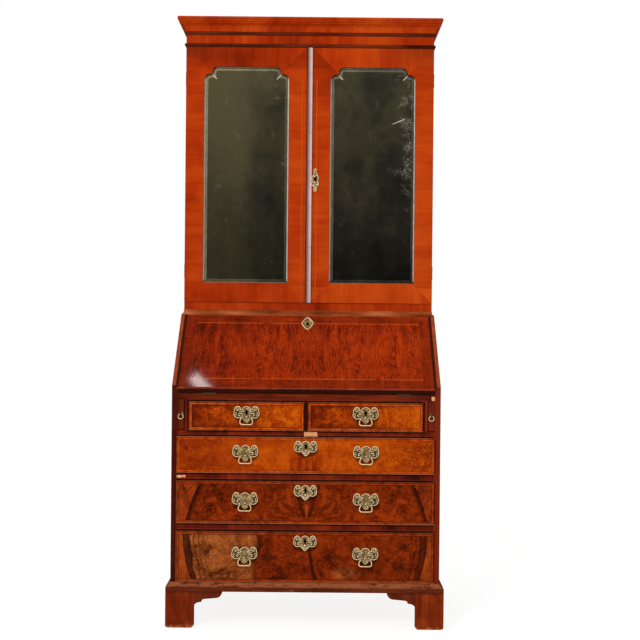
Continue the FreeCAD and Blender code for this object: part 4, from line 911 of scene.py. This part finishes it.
        f.lay(screen(50, 13, 3), f.line(slip, 0.0, 0.0007, 0.0008) * f.fade(v, 0.008, 0.018) * 0.8)
        inner = outside + (cloud - 0.5) * 0.014
        sap = f.fade(inner, -0.022, -0.004) * f.fade(inner, 0.001, -0.001) * (0.3 + mottle)
        f.lay(screen(34, 9, 3), sap)
        return cloud

    def lower_figure(self, f, u, v, box, seed):
        """Burr leaves, the left one golden, with knots and growth rings between dark bands of sapwood."""
        w = woods()
        cloud, mottle, lines, pips = burr(f, u, v, seed, 0.04)
        sway = (cloud - 0.5) * 0.05
        fall = (box.half.z - v) / (2 * box.half.z)
        inward = 0.405 - fall * fall * 0.032 - abs(u)
        leaf_edge = u + 0.17 + sway + (mottle - 0.5) * 0.035 - f.fade(v, 0.0, 0.06) * 0.012
        patch = f.span((u - 0.135) * 0.55, v + 0.056) + sway * 0.3
        gilt = f.most(f.fade(leaf_edge, 0.006, -0.008), f.fade(patch, 0.034, 0.012) * 0.8)
        tone = cloud * 0.5 + mottle * 0.42 + f.fade(v, -0.07, 0.08) * 0.06
        f.colour = f.ramp(tone, (0.36, screen(60, 16, 3)), (0.49, w.umber), (0.64, w.russet))
        golden = f.ramp(tone, (0.37, screen(78, 28, 6)), (0.49, screen(140, 70, 26)), (0.62, w.burr_gold))
        f.lay(golden, gilt)
        f.lay(screen(156, 64, 14), hairs(f, u, v, seed, 0.036) * f.fade(mottle, 0.44, 0.62) * 0.45)
        self.knots_and_rings(f, u, v, inward, sway)
        f.lay(w.black, lines * 0.45)
        f.lay(w.black, pips * 0.7)
        seam = f.line(leaf_edge - 0.004, 0.0, 0.004, 0.012) * (f.fade(v, -0.04, 0.02) * 0.5 + 0.25)
        spine = f.line(u - 0.012 - fall * fall * 0.026 + sway * 0.1, 0.0, 0.003, 0.006)
        seam = f.most(seam, spine * f.fade(v, 0.035, 0.01) * 0.85)
        sap = f.line(inward + sway * 0.4, 0.008, 0.008, 0.008) * (0.85 - f.fade(u, 0.0, 0.1) * 0.3)
        f.lay(w.black, f.most(seam, sap))
        soft = streaks(f, v, u, f.y, seed, stretch=5.0)[0]
        end = f.ramp(soft * 0.5 + mottle * 0.5, (0.36, screen(88, 28, 4)), (0.64, screen(166, 68, 18)))
        f.lay(end, f.fade(inward, -0.004, -0.007))
        return cloud

    def knots_and_rings(self, f, u, v, inward, sway):
        """Dark knots, with growth rings round them and along the bands of sapwood."""
        w = woods()
        field = inward + sway * 0.5
        knots = 0.0
        for knot_u, knot_v, reach in KNOTS:
            knot = f.fade(f.span(u - knot_u + sway * 0.4, (v - knot_v) * 1.25), reach, 0.0)
            field = field + knot * 0.045
            knots = f.most(knot, knots)
        ring = f.math("PINGPONG", field * 62.0, 0.5) * 2.0
        near = f.most(f.fade(inward, 0.12, 0.02), f.fade(knots, 0.0, 0.45))
        f.lay(w.black, f.fade(ring, 0.4, 0.05) * near * 0.75)
        f.lay(w.black, f.fade(knots, 0.5, 0.9) * 0.6)


class DressInterior(bpy.types.Operator):
    """Finishes the pigeonholes and small drawers"""
    bl_idname = "bureau.dress_interior"
    bl_label = "Interior"

    def execute(self, context):
        w = woods()
        f = Finish("interior_walnut")
        soft, pores = streaks(f, f.x, f.z, f.y, 7.7)
        cloud, *_, pips = burr(f, f.x, f.z, 4.4, 0.03)
        f.colour = f.ramp(soft * 0.5 + cloud * 0.5, (0.28, screen(88, 30, 6)), (0.5, w.amber), (0.78, w.gold))
        f.lay(w.black, pips * 0.4)
        dress(f.surface(0.34 + soft * 0.2, pores), "pigeonholes", *SMALL_DRAWERS)
        return {"FINISHED"}


def new_piece(name, mesh, material, body):
    """A finished piece at the origin that rides on a body."""
    piece = bpy.data.objects.new(name, mesh)
    bpy.context.scene.collection.objects.link(piece)
    mesh.materials.clear()
    mesh.materials.append(material)
    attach(piece, body)
    return piece


def plain_mesh(name, holder):
    """The evaluated shape of a holder as a mesh of its own; the holder goes."""
    shape = holder.evaluated_get(bpy.context.evaluated_depsgraph_get())
    mesh = bpy.data.meshes.new_from_object(shape)
    mesh.name = name
    bpy.data.objects.remove(holder)
    return mesh


def slope():
    """Which way the fall's face looks: its largest plane."""
    areas = {}
    for face in nodes["fall_board"].data.polygons:
        key = tuple(round(share, 3) for share in face.normal)
        areas[key] = areas.get(key, 0.0) + face.area
    outward = [key for key in areas if key[1] < -0.3 and key[2] > 0.3]
    return Vector(max(outward, key=areas.get)).normalized()


def chain(edges):
    """Closed rings of points from loose edges, taken in order so that each run is the same."""
    rings = []
    left = dict.fromkeys(edges)
    while left:
        edge = next(iter(left))
        del left[edge]
        start, here = edge.verts
        ring = [start.co.copy()]
        while here is not start:
            ring.append(here.co.copy())
            edge = next(other for other in here.link_edges if other in left)
            del left[edge]
            here = edge.other_vert(here)
        rings.append(ring)
    return rings


def ring_box(ring):
    """Lowest and highest corner of a ring."""
    return [Vector(pick(point[axis] for point in ring) for axis in range(3)) for pick in (min, max)]


RINGS = {}
BROAD_FACE = 1e-4
WIDE_PLATE = 0.05


def plate_rings(node, facing):
    """Outlines of the plate faces that lie foremost on a node, holes included; found once for each node."""
    if node in RINGS:
        return RINGS[node]
    made = bmesh.new()
    made.from_mesh(nodes[node].data)
    bmesh.ops.remove_doubles(made, verts=made.verts, dist=1e-5)
    levels = {}
    for face in made.faces:
        if face.normal.dot(facing) > 0.999:
            levels.setdefault(round(face.calc_center_median().dot(facing), 4), []).append(face)
    broad = [level for level, faces in levels.items() if sum(face.calc_area() for face in faces) > BROAD_FACE]
    front = set(levels[max(broad)])
    RINGS[node] = chain([edge for edge in made.edges if sum(face in front for face in edge.link_faces) == 1])
    made.free()
    return RINGS[node]


def wide_plates(node):
    """Lowest and highest corner of each winged plate of a drawer's brasses."""
    corners = [ring_box(ring) for ring in plate_rings(node, FORWARD)]
    return [(low, high) for low, high in corners if high.x - low.x > WIDE_PLATE]


def keyholes(node, facing):
    """Middle, facing and drop of the painted shade of each keyhole in a node's plates: rings 11 mm tall and
    half as wide.
    """
    drop = -0.0032 if node == "door_right_brasses" else 0.0025
    holes = []
    for ring in plate_rings(node, facing):
        low, high = ring_box(ring)
        tall = math.hypot(high.y - low.y, high.z - low.z)
        if 0.010 < tall < 0.012 and 0.005 < high.x - low.x < 0.0065:
            holes.append(((low + high) / 2, facing, drop))
    return holes


def keyhole_dark(f, holes, reach):
    """1 behind the keyholes, within a reach of them: painted shade for their dark openings."""
    dark = 0.0
    for middle, facing, _ in holes:
        near, deep = (
            f.node("ShaderNodeVectorMath", {"operation": operation}, {0: f.place, 1: other}, out="Value")
            for operation, other in (("DISTANCE", middle), ("DOT_PRODUCT", facing)))
        level = middle.dot(facing) - 0.0022
        dark = f.most(f.fade(near, reach, reach - 0.001) * f.fade(deep, level, level - 0.0005), dark)
    return dark


def keyhole_painted_shade(f, holes):
    """1 on the painted shade of the keyholes' dark openings, in ellipses taller than they are wide."""
    slender = math.sqrt(3.8)
    dark = 0.0
    for middle, facing, drop in holes:
        apart = f.node("ShaderNodeVectorMath", {"operation": "SUBTRACT"}, {0: f.place, 1: middle})
        across, depth, height = f.split(apart)
        along = height * abs(facing.y) + depth * facing.z + drop
        dark = f.most(f.fade(f.span(across * slender, along), 0.0095, 0.0082), dark)
    return dark


def ridge(curve, points, radii, closed):
    """Adds one round ridge to a curve."""
    spline = curve.splines.new("POLY" if closed else "NURBS")
    spline.points.add(len(points) - 1)
    for knot, point, radius in zip(spline.points, points, radii):
        knot.co = (*point, 1.0)
        knot.radius = radius
    spline.use_cyclic_u = closed
    if not closed:
        spline.order_u = 3
        spline.use_endpoint_u = True
        spline.resolution_u = 5


def thinned(ring, step):
    """The ring without points that lie closer together than a step."""
    kept = [ring[0]]
    for point in ring[1:]:
        if (point - kept[-1]).length > step:
            kept.append(point)
    return kept


def wing_scrolls():
    """Scrolls of one wing in shares of a plate's half width and height, each with its thickest share."""
    curl = []
    turns, steps = 1.15, 14
    for step in range(steps + 1):
        share = step / steps
        angle = math.radians(215) - share * turns * 2 * math.pi
        reach = 0.19 - 0.10 * share
        curl.append((0.69 + reach * math.cos(angle), 0.33 + reach * 0.8 * math.sin(angle)))
    return (
        (curl, 0.8),
        (((0.26, 0.30), (0.34, 0.16), (0.50, 0.14), (0.60, 0.20)), 1.0),
        (((0.28, 0.04), (0.44, 0.08), (0.60, 0.04), (0.66, -0.06), (0.56, -0.10)), 1.15),
        (((0.10, -0.40), (0.20, -0.26), (0.24, -0.12), (0.40, -0.06)), 0.9),
    )


# Beads of a winged plate: shares of its half width across and of its height up, and share of the bead's size
BEAD_SHARES = (
    (0.0, -0.17, 1.0), (0.0, -0.36, 0.8), (-0.11, -0.28, 0.6), (0.11, -0.28, 0.6),
    (-0.27, 0.20, 0.75), (0.27, 0.20, 0.75), (-0.56, -0.09, 0.7), (0.56, -0.09, 0.7),
)


class ChaseBrasses(bpy.types.Operator):
    """Finishes the brasses and raises rims, scrolls and beads on their plates"""
    bl_idname = "bureau.chase_brasses"
    bl_label = "Brasses"

    def execute(self, context):
        plates = [(name + "_brasses", FORWARD) for name in (*DRAWERS, "door_right")]
        plates.append(("fall_brasses", slope()))
        holes = [hole for node, facing in plates for hole in keyholes(node, facing)]
        bright = self.rubbed_and_painted_light_finish(holes)
        flat = [name for name in nodes if name.endswith(("_brasses", "_hinge_leaves"))]
        dress(self.plate_finish(holes), *flat, *("loper_rosette_" + hand for hand in HANDS))
        dress(bright, *(name for name in nodes if "_bail" in name), *("loper_ring_" + hand for hand in HANDS))
        dress(self.door_plate_finish(holes), "door_right_brasses")
        for node, facing in plates:
            self.chase(node, facing, bright)
        return {"FINISHED"}

    def plate_finish(self, holes):
        """Stained brass, darker in the hollows of the wings and on the fall's hinges."""
        m = metals()
        f = Finish("old_brass")
        stain = f.noise(f.place, 70.0, detail=3.0)
        rub = f.noise(f.place, 240.0, detail=4.0, roughness=0.65)
        tone = rub * 0.6 + stain * 0.4
        f.colour = f.ramp(
            tone, (0.4, dimmed(m.tarnish, 0.26)), (0.52, dimmed(m.tarnish, 0.75)), (0.7, m.brass))
        hollow = f.ramp(tone, (0.42, dimmed(m.tarnish, 0.12)), (0.7, dimmed(m.tarnish, 0.6)))
        plate_pitch = 0.1003
        f.lay(hollow, f.fade(f.math("PINGPONG", f.x, plate_pitch), 0.012, 0.018))
        hinge_level = Box("fall_brasses").low.z + 0.0086
        f.lay(dimmed(m.tarnish, 0.24), f.line(f.z, hinge_level, 0.015, 0.002))
        self.blacken(f, holes)
        return f.surface(0.3 + rub * 0.2, rub, depth=0.0003, metallic=0.35, specular=0.4)

    def rubbed_and_painted_light_finish(self, holes):
        """Bright brass of raised edges and handles with painted light: lighter on what faces up and to the
        left, dark on what looks down.
        """
        m = metals()
        f = Finish("rubbed_brass_painted_light")
        rub = f.noise(f.place, 260.0, detail=4.0, roughness=0.65)
        nx, _, nz = f.facing()
        # Painted light: lighter where the brass faces up and to the left, dark where it looks down, broken by
        # random rubbing
        wear_and_painted_light = nz * 0.46 - nx * 0.3 + rub * 0.4 + 0.44
        f.colour = f.ramp(wear_and_painted_light, (0.22, dimmed(m.tarnish, 0.1)), (0.5, m.tarnish), (0.72, m.brass))
        self.blacken(f, holes)
        return f.surface(0.16 + rub * 0.2, rub, depth=0.0002, metallic=0.2, specular=0.5)

    def door_plate_finish(self, holes):
        """Deeply chased brass of the doors' escutcheon, dark in its hollows."""
        m = metals()
        f = Finish("chased_brass")
        chased = f.noise(f.place, 230.0, detail=2.0)
        f.colour = f.ramp(chased, (0.42, dimmed(m.tarnish, 0.14)), (0.53, m.tarnish), (0.64, m.brass))
        self.blacken(f, holes)
        return f.surface(0.25, chased, depth=0.0003, metallic=0.2, specular=0.5)

    def blacken(self, f, holes):
        """Paints shade into the keyholes and round them, for their dark openings."""
        f.lay(KEYHOLE_PAINTED_SHADE, f.most(keyhole_dark(f, holes, 0.02), keyhole_painted_shade(f, holes)))

    def chase(self, node, facing, material):
        """Rims on every outline of a node's plates, with scrolls and beads on the drawers' winged ones."""
        r = reliefs()
        body = node.removesuffix("_brasses")
        name = body + "_chasing"
        curve = bpy.data.curves.new(name, "CURVE")
        curve.dimensions = "3D"
        curve.bevel_depth = 1.0
        curve.bevel_resolution = 1
        curve.use_fill_caps = True
        whole_plate = 0.04
        for ring in plate_rings(node, facing):
            low, high = ring_box(ring)
            points = thinned(ring, r.rim * 0.8)
            radius = r.rim if (high - low).length > whole_plate else r.rim * 0.45
            ridge(curve, points, [radius] * len(points), True)
        beads = []
        for low, high in wide_plates(node) if body in DRAWERS else ():
            beads += self.scrolls(curve, low, high)
        holder = bpy.data.objects.new(name, curve)
        bpy.context.scene.collection.objects.link(holder)
        mesh = plain_mesh(name, holder)
        self.set_beads(mesh, beads)
        new_piece(name, mesh, material, body)

    def scrolls(self, curve, low, high):
        """Scrolls in both wings of a plate and where its beads go."""
        r = reliefs()
        middle = (low + high) / 2
        half, height = (high.x - low.x) / 2, high.z - low.z

        def place(x, z):
            return Vector((middle.x + x * half, low.y, middle.z + z * height))

        for side in (-1, 1):
            for shares, thick in wing_scrolls():
                points = [place(side * x, z) for x, z in shares]
                last = len(points) - 1
                arcs = [math.pi * (0.15 + 0.7 * step / last) for step in range(last + 1)]
                swell = [0.45 + 0.55 * math.sin(arc) for arc in arcs]
                ridge(curve, points, [r.scroll * thick * share for share in swell], False)
        return [(place(x, z), share) for x, z, share in BEAD_SHARES]

    def set_beads(self, mesh, beads):
        """Adds flattened beads to a chased mesh and smooths it."""
        made = bmesh.new()
        made.from_mesh(mesh)
        flat = Matrix.Diagonal((1.0, 0.7, 1.0, 1.0))
        for centre, share in beads:
            place = Matrix.Translation(centre) @ Matrix.Scale(reliefs().bead * share, 4) @ flat
            bmesh.ops.create_uvsphere(made, u_segments=12, v_segments=8, radius=1.0, matrix=place)
        for face in made.faces:
            face.smooth = True
        made.to_mesh(mesh)
        made.free()


def stud_tree(material):
    """Geometry nodes that set a domed head on every point of a mesh."""
    tree = bpy.data.node_groups.new("studs", "GeometryNodeTree")
    sockets = tree.interface
    sockets.new_socket("Geometry", in_out="INPUT", socket_type="NodeSocketGeometry")
    sockets.new_socket("Radius", in_out="INPUT", socket_type="NodeSocketFloat")
    sockets.new_socket("Height", in_out="INPUT", socket_type="NodeSocketFloat")
    sockets.new_socket("Geometry", in_out="OUTPUT", socket_type="NodeSocketGeometry")

    def node(kind, links):
        made = tree.nodes.new(kind)
        for key, value in links.items():
            if isinstance(value, bpy.types.NodeSocket):
                tree.links.new(value, made.inputs[key])
            else:
                made.inputs[key].default_value = value
        return made

    given = node("NodeGroupInput", {})
    points = node("GeometryNodeMeshToPoints", {"Mesh": given.outputs["Geometry"]})
    dome = node("GeometryNodeMeshUVSphere", {"Segments": 10, "Rings": 6, "Radius": 1.0})
    size = node("ShaderNodeCombineXYZ", {
        0: given.outputs["Radius"], 1: given.outputs["Height"], 2: given.outputs["Radius"]})
    heads = node("GeometryNodeInstanceOnPoints", {
        "Points": points.outputs[0], "Instance": dome.outputs["Mesh"], "Scale": size.outputs[0]})
    plain = node("GeometryNodeRealizeInstances", {0: heads.outputs[0]})
    finished = node("GeometryNodeSetMaterial", {"Geometry": plain.outputs[0], "Material": material})
    node("NodeGroupOutput", {0: finished.outputs[0]})
    return tree


def studs(name, places, radius, height, material, body):
    """Domed heads at the given places, as one piece of one body."""
    mesh = bpy.data.meshes.new(name)
    mesh.from_pydata(places, [], [])
    holder = bpy.data.objects.new(name, mesh)
    bpy.context.scene.collection.objects.link(holder)
    modifier = holder.modifiers.new("studs", "NODES")
    modifier.node_group = stud_tree(material)
    values = {"Radius": radius, "Height": height}
    for socket in modifier.node_group.interface.items_tree:
        if socket.in_out == "INPUT" and socket.name in values:
            modifier[socket.identifier] = values[socket.name]
    return new_piece(name, plain_mesh(name, holder), material, body)


class SetStuds(bpy.types.Operator):
    """Sets the plates' pins and the nails of the back"""
    bl_idname = "bureau.set_studs"
    bl_label = "Pins and nails"

    def execute(self, context):
        self.set_pins()
        self.set_nails()
        return {"FINISHED"}

    def set_pins(self):
        """Two pins in each winged plate."""
        pin = reliefs().pin
        brass = bpy.data.materials["rubbed_brass_painted_light"]
        across_share, drop_share = 0.47, 0.02
        for drawer in DRAWERS:
            places = []
            for low, high in wide_plates(drawer + "_brasses"):
                middle, half = (low + high) / 2, (high - low) / 2
                z = middle.z - drop_share * 2 * half.z
                places += [(middle.x + side * across_share * half.x, low.y, z) for side in (-1, 1)]
            studs(drawer + "_pins", places, pin, pin * 0.8, brass, drawer)

    def set_nails(self):
        """Three rows of iron nails through each back, two columns to a plank."""
        nail = reliefs().nail
        f = Finish("nail_iron")
        rust = f.noise(f.place, 300.0, detail=4.0)
        f.colour = f.ramp(rust, (0.3, screen(38, 30, 26)), (0.7, screen(86, 60, 44)))
        iron = f.surface(0.6 + rust * 0.3, rust)
        margin = 0.03
        for node, columns in (("bureau_backboards", 8), ("bookcase_backboards", 10)):
            box = Box(node)
            places = []
            for row in range(3):
                z = box.low.z + margin + row * (box.half.z - margin)
                for column in range(columns):
                    x = box.low.x + (column + 0.5) * 2 * box.half.x / columns
                    places.append((x, box.high.y, z))
            studs(node + "_nails", places, nail, nail * 0.35, iron, "case")


def area_light(name, place, target, width, height, radiance, mirrored):
    """A soft box that faces its target, out of the picture, and in reflections only if mirrored."""
    data = bpy.data.lights.new(name, "AREA")
    data.shape = "RECTANGLE"
    data.size, data.size_y = width, height
    data.energy = radiance * math.pi * width * height
    lamp = bpy.data.objects.new(name, data)
    lamp.location = place
    lamp.rotation_euler = (Vector(target) - Vector(place)).to_track_quat("-Z", "Y").to_euler()
    lamp.visible_camera = False
    lamp.visible_glossy = mirrored
    bpy.context.scene.collection.objects.link(lamp)


class SetStage(bpy.types.Operator):
    """Sets the floor, the light and the camera"""
    bl_idname = "bureau.set_stage"
    bl_label = "Studio"

    def execute(self, context):
        bpy.context.scene.view_settings.view_transform = "Standard"
        self.lay_floor()
        self.light()
        self.set_camera()
        return {"FINISHED"}

    def lay_floor(self):
        """A pale disc that polished wood doesn't mirror."""
        s = studio()
        made = bmesh.new()
        bmesh.ops.create_circle(made, cap_ends=True, segments=96, radius=s.floor_radius)
        mesh = bpy.data.meshes.new("floor")
        made.to_mesh(mesh)
        made.free()
        floor = bpy.data.objects.new("floor", mesh)
        bpy.context.scene.collection.objects.link(floor)
        f = Finish("pale_floor")
        pale = f.node("ShaderNodeBsdfPrincipled", sockets={
            "Base Color": rgba(s.floor), "Roughness": 0.9, "Specular IOR Level": 0.0,
            "Emission Color": (1.0, 1.0, 1.0, 1.0), "Emission Strength": s.floor_glow})
        dark = f.node("ShaderNodeBsdfDiffuse", sockets={"Color": (0.04, 0.04, 0.04, 1.0)})
        mirrored = f.node("ShaderNodeLightPath", out="Is Glossy Ray")
        mesh.materials.append(f.close(f.node("ShaderNodeMixShader", sockets={0: mirrored, 1: pale, 2: dark})))

    def light(self):
        """An even sky, darker in reflections, a soft box at the upper left and a lamp over the fall."""
        s = studio()
        area_light("key", place=(-2.4, -5.0, 4.6), target=(0.0, 0.0, 1.3), width=1.3, height=1.3,
                   radiance=34.0, mirrored=False)
        area_light("shine", place=(-0.56, -0.385, 2.75), target=(-0.36, -0.2, 0.83), width=0.12,
                   height=0.055, radiance=10.0, mirrored=True)
        world = bpy.data.worlds.new("studio")
        bpy.context.scene.world = world
        world.use_nodes = True
        g = Graph(world.node_tree)
        up = g.split(g.node("ShaderNodeTexCoord", out="Generated"))[2]
        grey = [(place, (shade, shade, shade)) for place, shade in (
            (0.46, 0.03), (0.52, 0.035), (0.61, 0.09), (0.78, 0.1), (0.84, 0.85), (0.91, 0.7), (0.95, 0.05))]
        mirrored = g.ramp(up * 0.5 + 0.5, *grey)
        even = (s.sky, s.sky, s.sky)
        colour = g.mix(even, mirrored, g.node("ShaderNodeLightPath", out="Is Glossy Ray"))
        colour = g.mix(colour, (1.0, 1.0, 1.0), g.node("ShaderNodeLightPath", out="Is Camera Ray"))
        g.node("ShaderNodeOutputWorld", sockets={
            "Surface": g.node("ShaderNodeBackground", sockets={"Color": colour, "Strength": 1.0})})

    def set_camera(self):
        """The photograph's view."""
        s = studio()
        data = bpy.data.cameras.new("camera")
        data.sensor_width = 36.0
        data.lens = s.lens
        camera = bpy.data.objects.new("camera", data)
        yaw, pitch, roll = s.turn
        upright = Vector((0.0, 0.0, 1.0))
        right = Vector((math.cos(yaw), -math.sin(yaw), 0.0))
        level = Vector((math.sin(yaw), math.cos(yaw), 0.0))
        ahead = level * math.cos(pitch) + upright * math.sin(pitch)
        above = upright * math.cos(pitch) - level * math.sin(pitch)
        across = right * math.cos(roll) + above * math.sin(roll)
        up = above * math.cos(roll) - right * math.sin(roll)
        turn = Matrix((across, up, -ahead)).transposed().to_4x4()
        camera.matrix_world = Matrix.Translation(s.stand) @ turn
        bpy.context.scene.collection.objects.link(camera)
        bpy.context.scene.camera = camera


PIECES = (DressCarcass, DressBookcase, DressDoors, DressFall, DressDrawers, DressInterior, ChaseBrasses,
          SetStuds, SetStage)
GROUPS = {"bureau_woods": BureauWoods, "bureau_metals": BureauMetals, "bureau_reliefs": BureauReliefs,
          "bureau_studio": BureauStudio}


class BureauPanel(bpy.types.Panel):
    """Lists the steps and their settings"""
    bl_idname = "VIEW3D_PT_bureau"
    bl_label = "Bureau bookcase"
    bl_space_type = "VIEW_3D"
    bl_region_type = "UI"
    bl_category = "Bureau"

    def draw(self, context):
        for name, group in GROUPS.items():
            column = self.layout.column()
            for setting in group.__annotations__:
                column.prop(getattr(context.scene, name), setting)
        for step in PIECES:
            self.layout.operator(step.bl_idname)


def register():
    for kind in (*GROUPS.values(), *PIECES, BureauPanel):
        bpy.utils.register_class(kind)
    for name, group in GROUPS.items():
        setattr(bpy.types.Scene, name, bpy.props.PointerProperty(type=group))


def unregister():
    for name in GROUPS:
        delattr(bpy.types.Scene, name)
    for kind in reversed((*GROUPS.values(), *PIECES, BureauPanel)):
        bpy.utils.unregister_class(kind)


def main():
    register()
    for step in PIECES:
        family, name = step.bl_idname.split(".")
        getattr(getattr(bpy.ops, family), name)()


if __name__ == "__main__":
    main()
